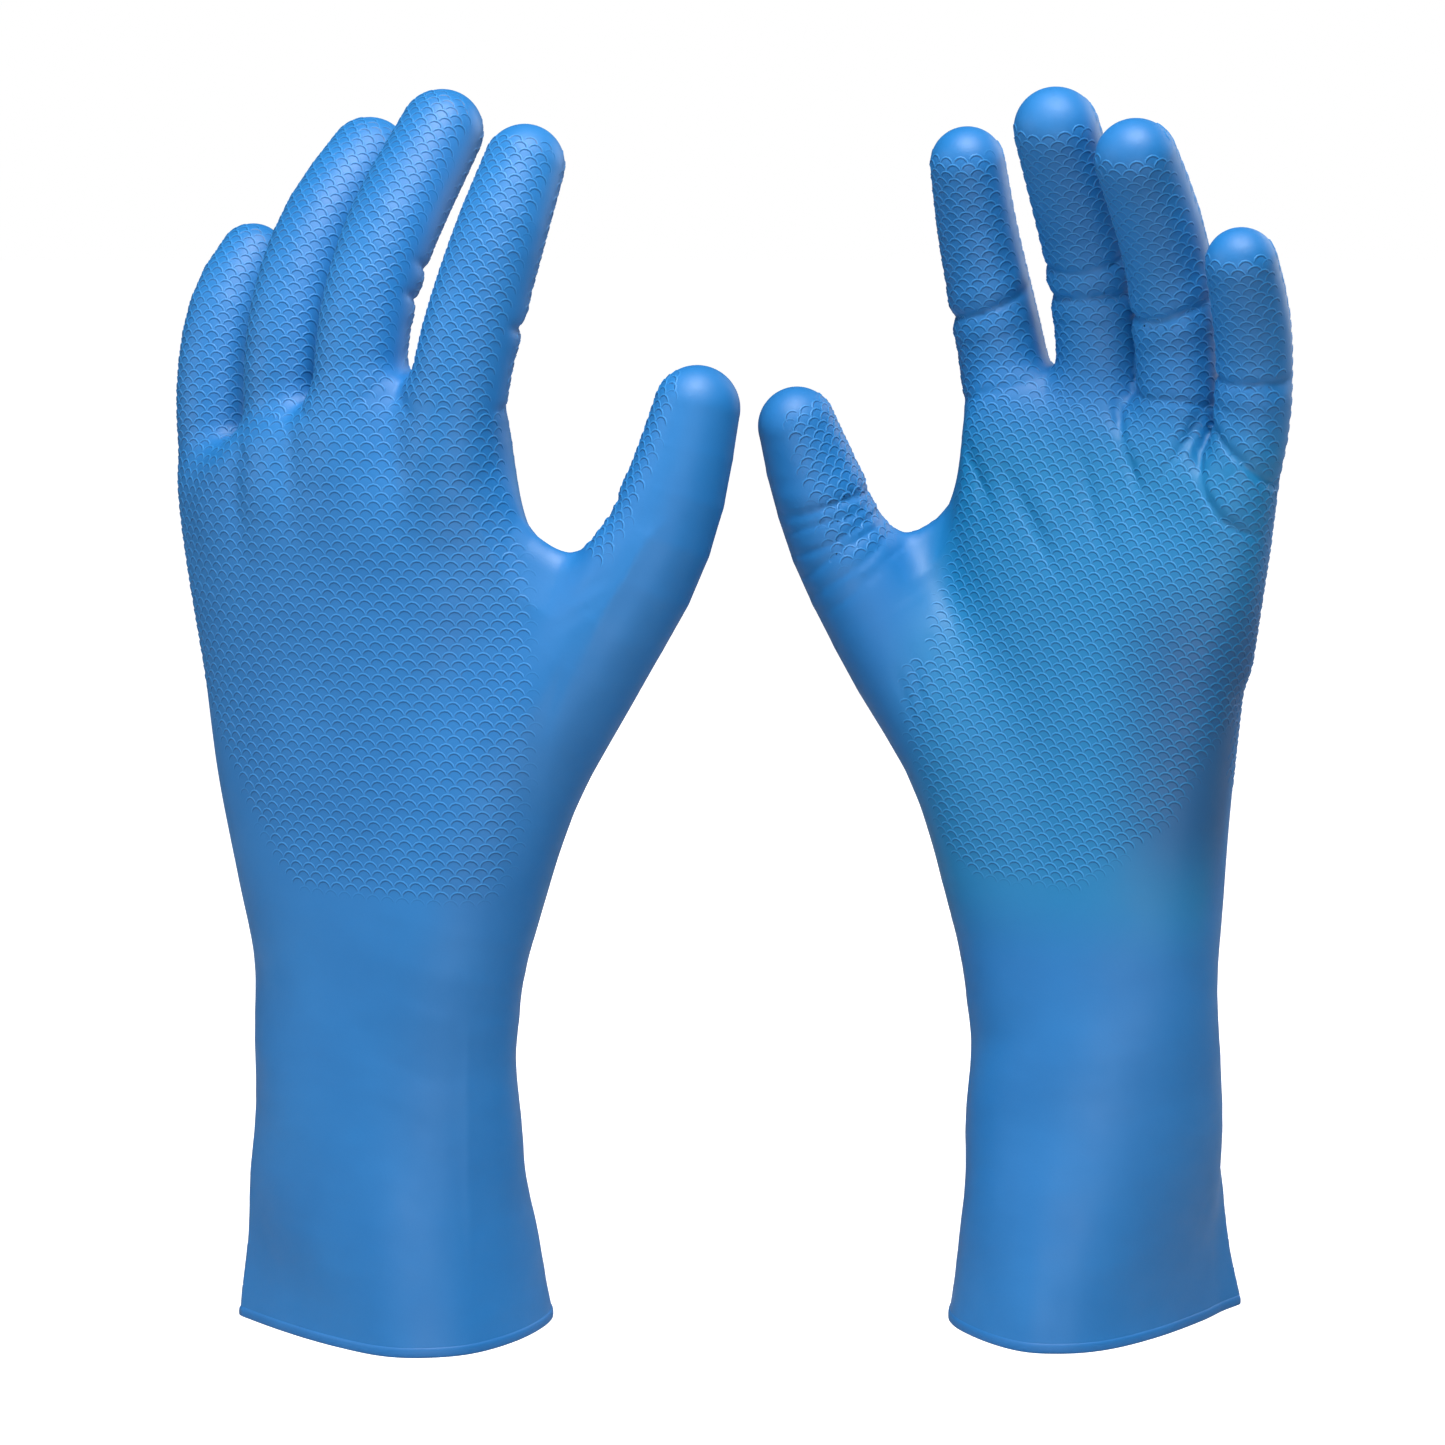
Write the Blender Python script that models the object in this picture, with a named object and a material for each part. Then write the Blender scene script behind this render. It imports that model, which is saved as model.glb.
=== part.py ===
"""A pair of long-cuff rubber gloves, standing on their hems with the fingers up.

Metres, +Z up. X runs across the pair and the wearer's palm faces +Y on the left glove and -Y on the right.
Both gloves are the same moulding, turned to show the back of one and the palm of the other.

Each glove is drawn in its own hand frame: u points to the thumb side, n out of the palm, z up the arm.
The shell is split where the rubber flexes: at the wrist, at each finger's root and half way up each digit.
"""

import math

import bmesh
import bpy
from mathutils import Matrix, Vector

MM = 0.001

WALL = 0.5  # thickness of the rubber
GAP = 0.4  # between two pieces that meet at a flexing line
SLEEVE_SIDES = 32
DIGIT_SIDES = 14
EXTEND_DEG = 10.0  # how far a finger bends back past rest
WRIST_DEG = 25.0  # how far the hand bends each way at the wrist
WRIST_Z = 88.0
WEDGE_SPARE_DEG = 2.5
BORE_PAST = 6.0  # how far a cutter runs on past the wall that it opens
CROWN_INSET = 4.0  # the rounded top of the palm, between the fingers
CROWN_RISE = 2.0
BEAD_HEIGHT = 2.2
BEAD_WIDTH = 2.6
BEAD_FLAT = 1.4  # width of the flat that the glove stands on
DEPTH_SHARE = 0.94  # a finger's depth over its width

# Sleeve: height, centre u and n, half width, half depth, arch of the palm, rise to the thumb, twist.
LEFT_SLEEVE = [
    (0, 3.2, 0, 42.2, 33.5, 0, 0, 18),
    (21, 1.9, 0, 39.2, 29.5, 0, 0, 15),
    (49, 0.7, 0, 37.3, 25.5, 0, 0, 10),
    (76, 0.0, 0, 37.4, 23.4, 0, 0, 4),
    (96, -0.9, 0, 38.6, 22.0, 0, 0, 0),
    (116, -2.3, 0, 41.7, 21.4, 1, 0, 0),
    (143, -5.5, 0, 45.0, 20.4, 2, 0, 0),
    (169, -7.9, 0, 47.6, 19.4, 3, 0, 0),
    (195, -9.9, -1, 49.9, 18.4, 4, 0.03, 0),
    (217, -11.4, -3, 50.8, 16.6, 6, 0.10, 0),
    (233, -12.0, -4, 49.2, 13.6, 8, 0.15, 0),
    (241, -12.0, -4, 46.0, 9.6, 8, 0.20, 0),
]
RIGHT_SLEEVE = [
    (0, -1.2, 0, 40.6, 33.4, 0, 0, 54),
    (21, -0.7, 0, 37.0, 29.2, 0, 0, 42),
    (49, 0.6, 0, 34.2, 25.5, 0, 0, 26),
    (76, 1.5, 0, 32.8, 23.4, 0, 0, 8),
    (96, 1.9, 0, 33.6, 22.0, 0, 0, 0),
    (116, 2.1, 0, 34.8, 21.4, 1, 0, 0),
    (143, 1.2, 0, 35.6, 20.4, 2, 0, 0),
    (169, 0.1, 0, 37.4, 19.4, 3, 0, 0),
    (195, -0.8, -1, 39.4, 18.4, 4, 0.03, 0),
    (217, -1.8, -3, 40.4, 16.6, 6, 0.10, 0),
    (233, -2.8, -3, 40.0, 13.6, 8, 0.15, 0),
    (241, -3.4, -3, 37.8, 9.6, 8, 0.20, 0),
]

# Digits: height, u, n and radius from the root inside the palm to the centre of the round tip,
# then the heights of the two lines where the digit flexes.
LEFT_DIGITS = {
    "index": ([(203, 21.0, 0, 7.5), (222, 25.0, -2.2, 11.6), (242, 27.0, -2, 12.4), (260, 29.8, 0, 12.4),
               (285, 35.0, 6, 11.6), (303, 37.2, 14, 10.4)], 255, 271),
    "middle": ([(203, -5.0, -3, 7.5), (222, -3.4, -4, 11.4), (240, -2.4, -4, 12.0), (258, -1.4, -3, 11.8),
                (272, -0.4, 0, 11.8), (289, 1.6, 8, 11.9), (311, 4.4, 24, 11.0)], 256, 274),
    "ring": ([(196, -27.6, -2, 7.0), (216, -27.6, -2, 10.6), (236, -27.6, -1, 11.4), (256, -27.8, 0, 11.2),
              (274, -27.4, 6, 11.2), (290, -25.8, 16, 11.2), (304, -22.8, 29, 10.8)], 248, 267),
    "little": ([(180, -45.0, 0, 6.5), (202, -50.0, 2.4, 9.6), (221, -53.8, 4, 10.8), (240, -55.8, 5, 10.9),
                (256, -56.4, 8, 10.6), (268, -56.0, 13, 10.2), (277.5, -55.0, 20, 9.2)], 238, 254),
    "thumb": ([(92, 20.0, 1, 13.0), (118, 27.4, 3, 16.0), (150, 39.4, 7, 17.0), (180, 57.0, 12, 15.8),
               (203, 70.8, 17, 14.2), (221, 77.2, 21, 12.9), (243, 81.6, 25, 10.9)], 205, 222),
}
RIGHT_DIGITS = {
    "index": ([(203, 22.6, 0, 7.5), (222, 26.4, -2.2, 11.2), (242, 28.8, -2, 11.8), (260, 31.4, 0, 11.2),
               (285, 34.2, 7, 10.3), (303, 34.2, 14, 9.6)], 253, 269),
    "middle": ([(203, 1.6, -3, 7.5), (222, 2.4, -4, 11.2), (240, 3.2, -4, 11.6), (258, 3.8, -2, 11.4),
                (274, 4.6, 1, 11.4), (289, 5.2, 8, 11.4), (312, 5.6, 24, 10.7)], 254, 275),
    "ring": ([(196, -19.6, -1, 7.0), (216, -19.6, 0, 10.2), (236, -19.6, 1, 10.7), (256, -19.4, 3, 10.7),
              (274, -19.4, 8, 10.8), (290, -18.8, 17, 10.8), (305, -17.4, 28, 10.2)], 247, 267),
    "little": ([(180, -32.0, 1, 6.5), (202, -34.0, 3.4, 8.8), (221, -36.8, 5, 9.4), (240, -40.6, 6, 9.5),
                (256, -42.0, 9, 9.5), (268, -42.6, 14, 9.5), (280, -42.6, 21, 8.9)], 238, 254),
    "thumb": ([(92, 18.0, 1, 12.0), (118, 25.4, 3, 14.6), (150, 36.0, 7, 16.4), (180, 54.6, 12, 15.4),
               (203, 67.6, 17, 13.2), (221, 73.6, 21, 12.0), (235.5, 77.0, 25, 10.2)], 204, 219),
}
GLOVES = {
    "left": {"place": (-87.4, -3.8), "turn": -32.0, "sleeve": LEFT_SLEEVE, "digits": LEFT_DIGITS},
    "right": {"place": (100.4, -3.8), "turn": 152.0, "sleeve": RIGHT_SLEEVE, "digits": RIGHT_DIGITS},
}
# The web of flesh between the palm and the thumb: height, half depth.
WEB = [(100, 14.0), (130, 15.5), (160, 13.5), (185, 10.0), (197, 7.0), (202, 4.0)]
WEB_START_U = 18.0  # where the web starts, inside the palm
WEB_OVERRUN = 4.0
FINGER_AXIS = Vector((1, 0, 0))  # fingers flex about u
THUMB_SWING = Vector((-0.75, 0.66, 0)).normalized()  # the way the thumb's tip moves as it flexes

RUBBER_BLUE = (0.045, 0.215, 0.560, 1.0)
BEAD_BLUE = (0.035, 0.180, 0.500, 1.0)
RUBBER_ROUGHNESS = 0.45


def clear_scene():
    for old in list(bpy.data.objects):
        bpy.data.objects.remove(old, do_unlink=True)


def material(name, colour):
    made = bpy.data.materials.new(name)
    made.use_nodes = True
    shader = made.node_tree.nodes["Principled BSDF"]
    shader.inputs["Base Color"].default_value = colour
    shader.inputs["Roughness"].default_value = RUBBER_ROUGHNESS
    shader.inputs["Metallic"].default_value = 0.0
    return made


def spline(stations, height):
    """The values of the stations at a height, on one smooth curve through them all."""
    last = len(stations) - 2
    i = max(0, min(last, sum(s[0] <= height for s in stations) - 1))
    low, high = stations[i], stations[i + 1]
    before, after = stations[max(0, i - 1)], stations[min(last + 1, i + 2)]
    span = high[0] - low[0]
    t = (height - low[0]) / span
    values = []
    for k in range(1, len(low)):
        slope_low = (high[k] - before[k]) / (high[0] - before[0]) * span
        slope_high = (after[k] - low[k]) / (after[0] - low[0]) * span
        rise = high[k] - low[k]
        values.append(
            low[k] + slope_low * t + (3 * rise - 2 * slope_low - slope_high) * t**2
            + (slope_low + slope_high - 2 * rise) * t**3
        )
    return values


def sleeve_ring(stations, height, inset=0.0, shift=0.0, wedge=0.0, hinge=None):
    """One ring of the sleeve. wedge lifts its front and back away from the line of the hinge."""
    u, n, half_width, half_depth, arch, rise, twist = spline(stations, height)
    twist = math.radians(twist)
    points = []
    for i in range(SLEEVE_SIDES):
        angle = 2 * math.pi * i / SLEEVE_SIDES
        wide = (half_width - inset) * math.cos(angle)
        thick = (half_depth - inset) * math.sin(angle)
        across = wide * math.cos(twist) - thick * math.sin(twist)
        deep = wide * math.sin(twist) + thick * math.cos(twist)
        lift = shift + rise * across
        if hinge:
            lift += wedge * abs(across * hinge.y - deep * hinge.x)
        points.append(Vector((u + across, n + deep + arch * math.cos(angle) ** 2, height + lift)))
    return points


class Digit:
    """A finger or the thumb: its centre line, and the flexing lines across it."""

    def __init__(self, stations, knuckle, middle, swing=None):
        self.stations, self.knuckle, self.middle, self.swing = stations, knuckle, middle, swing
        self.wedge = 0.0 if swing else math.tan(math.radians(EXTEND_DEG + WEDGE_SPARE_DEG) / 2)

    def at(self, height):
        u, n, radius = spline(self.stations, height)
        return Vector((u, n, height)), radius

    def along(self, height):
        step = 0.5
        low = max(self.stations[0][0], height - step)
        high = min(self.stations[-1][0], height + step)
        return (self.at(high)[0] - self.at(low)[0]).normalized()

    def axis(self, height):
        """The axis that this digit flexes about: a positive turn closes the hand."""
        if self.swing is None:
            return -FINGER_AXIS
        return self.along(height).cross(self.swing).normalized()

    def palmar(self, height):
        """Across the digit, towards its palm side."""
        return self.axis(height).cross(self.along(height)).normalized()

    def pivot(self, height):
        centre, radius = self.at(height)
        return centre + self.palmar(height) * radius * DEPTH_SHARE

    def ring(self, height, inset=0.0, shift=0.0, wedge=0.0):
        """One ring. wedge opens it on the back of the digit, hinged on the palm side."""
        centre, radius = self.at(height)
        width, depth = self.axis(height), self.palmar(height)
        along = self.along(height)
        half_depth = radius * DEPTH_SHARE - inset
        points = []
        for i in range(DIGIT_SIDES):
            angle = 2 * math.pi * (i + 0.5) / DIGIT_SIDES
            deep = half_depth * math.sin(angle)
            lift = shift + wedge * (radius * DEPTH_SHARE - deep)
            points.append(centre - width * (radius - inset) * math.cos(angle) + depth * deep + along * lift)
        return points

    def tip_rings(self, inset=0.0):
        """The rings of the round tip, and its last point."""
        top = self.stations[-1][0]
        centre, radius = self.at(top)
        along = self.along(top)
        rings = []
        for angle in (0.0, math.radians(34), math.radians(64)):
            middle_ring = self.ring(top, inset)
            rise = along * (radius - inset) * math.sin(angle)
            rings.append([centre + (p - centre) * math.cos(angle) + rise for p in middle_ring])
        return rings, centre + along * (radius - inset)


def lofted(bm, rings, cap_start=False, cap_end=False, inward=False):
    """Skins the rings, and closes the ends that are asked for. Returns the two end loops."""
    loops = [[bm.verts.new(p * MM) for p in ring] for ring in rings]
    for low, high in zip(loops, loops[1:]):
        for i in range(len(low)):
            j = (i + 1) % len(low)
            corners = (low[i], low[j], high[j], high[i])
            bm.faces.new(corners[::-1] if inward else corners)
    if cap_start:
        bm.faces.new(loops[0] if inward else loops[0][::-1])
    if cap_end:
        bm.faces.new(loops[-1][::-1] if inward else loops[-1])
    return loops[0], loops[-1]


def fan(bm, loop, point, inward=False):
    top = bm.verts.new(point * MM)
    for i in range(len(loop)):
        corners = (loop[i], loop[(i + 1) % len(loop)], top)
        bm.faces.new(corners[::-1] if inward else corners)


def rim(bm, outer, inner):
    """The narrow ring of faces across the rubber's thickness at an open end."""
    for i in range(len(outer)):
        j = (i + 1) % len(outer)
        bm.faces.new((outer[i], inner[i], inner[j], outer[j]))


def make_object(bm, name, glove, look=None):
    """Turns a mesh into a named object under its glove's empty. Without a look it is a helper."""
    bmesh.ops.recalc_face_normals(bm, faces=bm.faces)
    mesh = bpy.data.meshes.new(name)
    bm.to_mesh(mesh)
    bm.free()
    made = bpy.data.objects.new(name, mesh)
    bpy.context.scene.collection.objects.link(made)
    made.parent = glove
    if look is None:
        made.hide_render = True
        made.display_type = "WIRE"
    else:
        mesh.materials.append(look)
        mesh.shade_smooth()
    return made


def combine(target, helper, operation):
    modifier = target.modifiers.new(helper.name, "BOOLEAN")
    modifier.operation = operation
    modifier.solver = "EXACT"
    modifier.object = helper


def wrist_hinge(glove):
    """The wrist bends about the pair's X axis, given here in the glove's own frame."""
    return glove.matrix_world.to_3x3().inverted() @ Vector((1, 0, 0))


def sleeve_solid(name, glove, sleeve, inset=0.0):
    """The palm as one closed solid, from the wrist to the roots of the fingers. A hollow runs on past the wrist."""
    wedge = math.tan(math.radians(WRIST_DEG + WEDGE_SPARE_DEG) / 2)
    heights = [station[0] for station in sleeve if station[0] > WRIST_Z + 20]
    rings = [sleeve_ring(sleeve, WRIST_Z, inset, GAP / 2, wedge, wrist_hinge(glove))]
    rings += [sleeve_ring(sleeve, height, inset) for height in heights]
    rings.append(sleeve_ring(sleeve, heights[-1], inset + CROWN_INSET, CROWN_RISE - inset))
    u, n = spline(sleeve, WRIST_Z)[:2]
    centre = Vector((u, n, WRIST_Z + GAP / 2))
    if inset:
        rings.insert(0, sleeve_ring(sleeve, WRIST_Z, inset, -BORE_PAST))
        centre.z = WRIST_Z - BORE_PAST
    bm = bmesh.new()
    mouth, _ = lofted(bm, rings, cap_end=True)
    fan(bm, mouth, centre, inward=True)
    return make_object(bm, name, glove)


def root_solid(name, glove, digit, inset=0.0):
    """The root of a digit as one closed solid that ends on its lower flexing line. A bore runs on past it."""
    heights = [station[0] for station in digit.stations if station[0] < digit.knuckle - 6]
    rings = [digit.ring(heights[0], inset, shift=inset)]
    rings += [digit.ring(height, inset) for height in heights[1:]]
    rings.append(digit.ring(digit.knuckle, inset, -GAP / 2, -digit.wedge))
    if inset:
        rings.append(digit.ring(digit.knuckle, inset, BORE_PAST))
    bm = bmesh.new()
    lofted(bm, rings, cap_start=True, cap_end=True)
    return make_object(bm, name, glove)


def web_solid(name, glove, sleeve, thumb, inset):
    """The web between the palm and the thumb as one closed solid."""
    bm = bmesh.new()
    rings = []
    for height, half_depth in WEB:
        u, n, half_width, _, arch, _, _ = spline(sleeve, height)
        palm_side = Vector((WEB_START_U, n + arch * ((WEB_START_U - u) / half_width) ** 2, height))
        thumb_side = thumb.at(height)[0]
        along = thumb_side - palm_side
        half_length = along.length / 2 + WEB_OVERRUN - inset
        along.normalize()
        across = Vector((0, 0, 1)).cross(along)
        centre = (palm_side + thumb_side) / 2
        lift = Vector((0, 0, inset if height == WEB[0][0] else -inset if height == WEB[-1][0] else 0))
        rings.append([
            centre + lift + along * half_length * math.cos(angle) + across * (half_depth - inset) * math.sin(angle)
            for angle in (2 * math.pi * i / DIGIT_SIDES for i in range(DIGIT_SIDES))
        ])
    lofted(bm, rings, cap_start=True, cap_end=True)
    return make_object(bm, name, glove)


def build_hand(side, glove, sleeve, digits, look):
    """The palm and back of the hand, with a mouth for the wrist and one for each digit."""
    hand = sleeve_solid(f"{side}_hand", glove, sleeve)
    hand.hide_render = False
    hand.display_type = "TEXTURED"
    hand.data.materials.append(look)
    for name, digit in digits.items():
        combine(hand, root_solid(f"{side}_{name}_root", glove, digit), "UNION")
    combine(hand, web_solid(f"{side}_web", glove, sleeve, digits["thumb"], 0.0), "UNION")
    combine(hand, sleeve_solid(f"{side}_hand_hollow", glove, sleeve, WALL), "DIFFERENCE")
    combine(hand, web_solid(f"{side}_web_hollow", glove, sleeve, digits["thumb"], WALL), "DIFFERENCE")
    for name, digit in digits.items():
        combine(hand, root_solid(f"{side}_{name}_bore", glove, digit, WALL), "DIFFERENCE")


def build_cuff(side, glove, sleeve, look):
    """The sleeve from just above the bead to the wrist."""
    wedge = math.tan(math.radians(WRIST_DEG + WEDGE_SPARE_DEG) / 2)
    heights = [BEAD_HEIGHT + GAP, 21, 49, 70]
    bm = bmesh.new()
    ends = []
    for inset in (0.0, WALL):
        rings = [sleeve_ring(sleeve, z, inset) for z in heights]
        rings.append(sleeve_ring(sleeve, WRIST_Z, inset, -GAP / 2, -wedge, wrist_hinge(glove)))
        ends.append(lofted(bm, rings, inward=inset > 0))
    rim(bm, ends[0][0], ends[1][0])
    rim(bm, ends[1][1], ends[0][1])
    make_object(bm, f"{side}_cuff", glove, look)


def build_bead(side, glove, sleeve, look):
    """The rolled edge of the cuff, flat underneath where the glove stands on it."""
    half, flat = BEAD_WIDTH / 2, BEAD_FLAT / 2
    section = [
        (-flat, 0.0), (flat, 0.0), (half, BEAD_HEIGHT * 0.35), (half * 0.8, BEAD_HEIGHT * 0.8),
        (0.0, BEAD_HEIGHT), (-half * 0.8, BEAD_HEIGHT * 0.8), (-half, BEAD_HEIGHT * 0.35),
    ]
    bm = bmesh.new()
    rings = []
    for outwards, height in section:
        ring = sleeve_ring(sleeve, 0.0, WALL / 2 - outwards)
        rings.append([bm.verts.new((p + Vector((0, 0, height))) * MM) for p in ring])
    for low, high in zip(rings, rings[1:] + rings[:1]):
        for i in range(SLEEVE_SIDES):
            j = (i + 1) % SLEEVE_SIDES
            bm.faces.new((low[i], low[j], high[j], high[i]))
    make_object(bm, f"{side}_cuff_bead", glove, look)


def build_digit(side, glove, name, digit, look):
    """The two flexing lengths of a digit: an open tube, and a tip that is closed at its round end."""
    half_gap = GAP / 2
    bm = bmesh.new()
    ends = []
    for inset in (0.0, WALL):
        rings = [
            digit.ring(digit.knuckle, inset, half_gap, digit.wedge),
            digit.ring((digit.knuckle + digit.middle) / 2, inset),
            digit.ring(digit.middle, inset, -half_gap, -digit.wedge),
        ]
        ends.append(lofted(bm, rings, inward=inset > 0))
    rim(bm, ends[0][0], ends[1][0])
    rim(bm, ends[1][1], ends[0][1])
    make_object(bm, f"{side}_{name}_base", glove, look)

    top = digit.stations[-1][0]
    between = [digit.middle + (top - digit.middle) * share for share in (0.36, 0.7)]
    bm = bmesh.new()
    mouths = []
    for inset in (0.0, WALL):
        dome, last = digit.tip_rings(inset)
        rings = [digit.ring(digit.middle, inset, half_gap, digit.wedge)]
        rings += [digit.ring(z, inset) for z in between] + dome
        start, end = lofted(bm, rings, inward=inset > 0)
        fan(bm, end, last, inward=inset > 0)
        mouths.append(start)
    rim(bm, mouths[0], mouths[1])
    make_object(bm, f"{side}_{name}_tip", glove, look)


def build_glove(side, facts, rubber, bead):
    glove = bpy.data.objects.new(f"{side}_glove", None)
    bpy.context.scene.collection.objects.link(glove)
    glove.matrix_world = Matrix.Translation(Vector((*facts["place"], 0)) * MM) @ Matrix.Rotation(
        math.radians(facts["turn"]), 4, "Z"
    )
    digits = {
        name: Digit(*values, swing=THUMB_SWING if name == "thumb" else None)
        for name, values in facts["digits"].items()
    }
    build_bead(side, glove, facts["sleeve"], bead)
    build_cuff(side, glove, facts["sleeve"], rubber)
    build_hand(side, glove, facts["sleeve"], digits, rubber)
    for name, digit in digits.items():
        build_digit(side, glove, name, digit, rubber)


def main():
    clear_scene()
    rubber = material("blue_rubber", RUBBER_BLUE)
    bead = material("bead_rubber", BEAD_BLUE)
    for side, facts in GLOVES.items():
        build_glove(side, facts, rubber, bead)


main()
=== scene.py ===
"""Looks for a pair of long-cuff rubber gloves: a smooth skin for each glove, embossed with fish scales.

Shapes are worked out in millimetres in each glove's own frame: u points to the thumb side, n out of the
palm and z up the arm. They become metres in the row frame when a mesh is made. The sections repeat the
CAD model's, and each skin is the smooth union of a sleeve and five digits.
"""

import math

import bpy
import numpy as np
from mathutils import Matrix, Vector


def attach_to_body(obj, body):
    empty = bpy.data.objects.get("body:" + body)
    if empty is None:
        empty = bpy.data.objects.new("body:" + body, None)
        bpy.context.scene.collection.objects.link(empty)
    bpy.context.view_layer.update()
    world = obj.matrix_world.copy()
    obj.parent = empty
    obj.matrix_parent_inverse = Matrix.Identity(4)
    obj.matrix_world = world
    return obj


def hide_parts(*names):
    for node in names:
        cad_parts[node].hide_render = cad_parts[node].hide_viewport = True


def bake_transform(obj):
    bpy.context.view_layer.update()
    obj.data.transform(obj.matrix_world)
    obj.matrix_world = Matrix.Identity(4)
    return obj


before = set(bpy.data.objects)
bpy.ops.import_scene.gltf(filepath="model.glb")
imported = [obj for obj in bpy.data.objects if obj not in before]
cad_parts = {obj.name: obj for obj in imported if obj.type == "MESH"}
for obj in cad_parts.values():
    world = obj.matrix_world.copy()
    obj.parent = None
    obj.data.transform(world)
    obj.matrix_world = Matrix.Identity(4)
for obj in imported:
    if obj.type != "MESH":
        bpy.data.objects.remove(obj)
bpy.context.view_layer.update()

MM = 0.001
SIDES = ("left", "right")
FINGERS = ("index", "middle", "ring", "little")
DIGITS = FINGERS + ("thumb",)
PIECES = ["cuff", "hand"] + [f"{name}_{part}" for name in DIGITS for part in ("base", "tip")]

# Where each glove stands and how far it is turned, as in the CAD model.
PLACES = {"left": (-87.4, -3.8, -32.0), "right": (100.4, -3.8, 152.0)}

# Sleeve: height, centre u and n, half width, half depth, arch of the palm, twist.
SLEEVES = {
    "left": [
        (0, 3.2, 0, 42.2, 33.5, 0, 18), (21, 1.9, 0, 39.2, 29.5, 0, 15), (49, 0.7, 0, 37.3, 25.5, 0, 10),
        (76, 0, 0, 37.4, 23.4, 0, 4), (96, -0.9, 0, 38.6, 22, 0, 0), (116, -2.3, 0, 41.7, 21.4, 1, 0),
        (143, -5.5, 0, 45, 20.4, 2, 0), (169, -7.9, 0, 47.6, 19.4, 3, 0), (195, -9.9, -1, 49.9, 18.4, 4, 0),
        (217, -11.4, -3, 50.8, 16.6, 6, 0), (233, -12, -4, 49.2, 13.6, 8, 0), (245, -12, -4, 46, 10.4, 8, 0),
    ],
    "right": [
        (0, -1.2, 0, 40.6, 33.4, 0, 54), (21, -0.7, 0, 37, 29.2, 0, 42), (49, 0.6, 0, 34.2, 25.5, 0, 26),
        (76, 1.5, 0, 32.8, 23.4, 0, 8), (96, 1.9, 0, 33.6, 22, 0, 0), (116, 2.1, 0, 34.8, 21.4, 1, 0),
        (143, 1.2, 0, 35.6, 20.4, 2, 0), (169, 0.1, 0, 37.4, 19.4, 3, 0), (195, -0.8, -1, 39.4, 18.4, 4, 0),
        (217, -1.8, -3, 40.4, 16.6, 6, 0), (233, -2.8, -3, 40, 13.6, 8, 0),
        (245, -3.4, -3, 37.8, 10.4, 8, 0),
    ],
}
# The line of the webs between the fingers: u, height.
WEB_LINES = {
    "left": [(-68, 222), (-56, 227), (-41, 232), (-15, 243), (12, 249), (30, 246), (45, 236)],
    "right": [(-56, 222), (-44, 225), (-31, 229), (-8, 243), (17, 249), (32, 246), (45, 236)],
}
# Digits: height, u, n and radius, from the root inside the palm to the centre of the round tip.
PATHS = {
    "left": {
        "index": [
            (203, 21, 0, 7.5), (222, 25, -2.2, 11.6), (242, 27, -2, 12.4), (260, 29.8, 0, 12.4),
            (285, 35, 6, 11.6), (303, 37.2, 14, 10.4),
        ],
        "middle": [
            (203, -5, -3, 7.5), (222, -3.4, -4, 11.4), (240, -2.4, -4, 12), (258, -1.4, -3, 11.8),
            (272, -0.4, 0, 11.8), (289, 1.6, 8, 11.9), (311, 4.4, 24, 11),
        ],
        "ring": [
            (196, -27.6, -2, 7), (216, -27.6, -2, 10.6), (236, -27.6, -1, 11.4), (256, -27.8, 0, 11.2),
            (274, -27.4, 6, 11.2), (290, -25.8, 16, 11.2), (304, -22.8, 29, 10.8),
        ],
        "little": [
            (180, -45, 0, 6.5), (202, -50, 2.4, 9.6), (221, -53.8, 4, 10.8), (240, -55.8, 5, 10.9),
            (256, -56.4, 8, 10.6), (268, -56, 13, 10.2), (277.5, -55, 20, 9.2),
        ],
        "thumb": [
            (92, 20, 1, 13), (118, 27.4, 3, 16), (150, 39.4, 7, 17), (180, 57, 12, 15.8),
            (203, 70.8, 17, 14.2), (221, 77.2, 21, 12.9), (243, 81.6, 25, 10.9),
        ],
    },
    "right": {
        "index": [
            (203, 22.6, 0, 7.5), (222, 26.4, -2.2, 11.2), (242, 28.8, -2, 11.8), (260, 31.4, 0, 11.2),
            (285, 34.2, 7, 10.3), (303, 34.2, 14, 9.6),
        ],
        "middle": [
            (203, 1.6, -3, 7.5), (222, 2.4, -4, 11.2), (240, 3.2, -4, 11.6), (258, 3.8, -2, 11.4),
            (274, 4.6, 1, 11.4), (289, 5.2, 8, 11.4), (312, 5.6, 24, 10.7),
        ],
        "ring": [
            (196, -19.6, -1, 7), (216, -19.6, 0, 10.2), (236, -19.6, 1, 10.7), (256, -19.4, 3, 10.7),
            (274, -19.4, 8, 10.8), (290, -18.8, 17, 10.8), (305, -17.4, 28, 10.2),
        ],
        "little": [
            (180, -32, 1, 6.5), (202, -34, 3.4, 8.8), (221, -36.8, 5, 9.4), (240, -40.6, 6, 9.5),
            (256, -42, 9, 9.5), (268, -42.6, 14, 9.5), (280, -42.6, 21, 8.9),
        ],
        "thumb": [
            (92, 18, 1, 12), (118, 25.4, 3, 14.6), (150, 36, 7, 16.4), (180, 54.6, 12, 15.4),
            (203, 67.6, 17, 13.2), (221, 73.6, 21, 12), (235.5, 77, 25, 10.2),
        ],
    },
}
# The heights where each digit flexes: at its root and half way up.
FLEX = {
    "left": {"index": (255, 271), "middle": (256, 274), "ring": (248, 267), "little": (238, 254),
             "thumb": (205, 222)},
    "right": {"index": (253, 269), "middle": (254, 275), "ring": (247, 267), "little": (238, 254),
              "thumb": (204, 219)},
}
WRIST = 88.0
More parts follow.
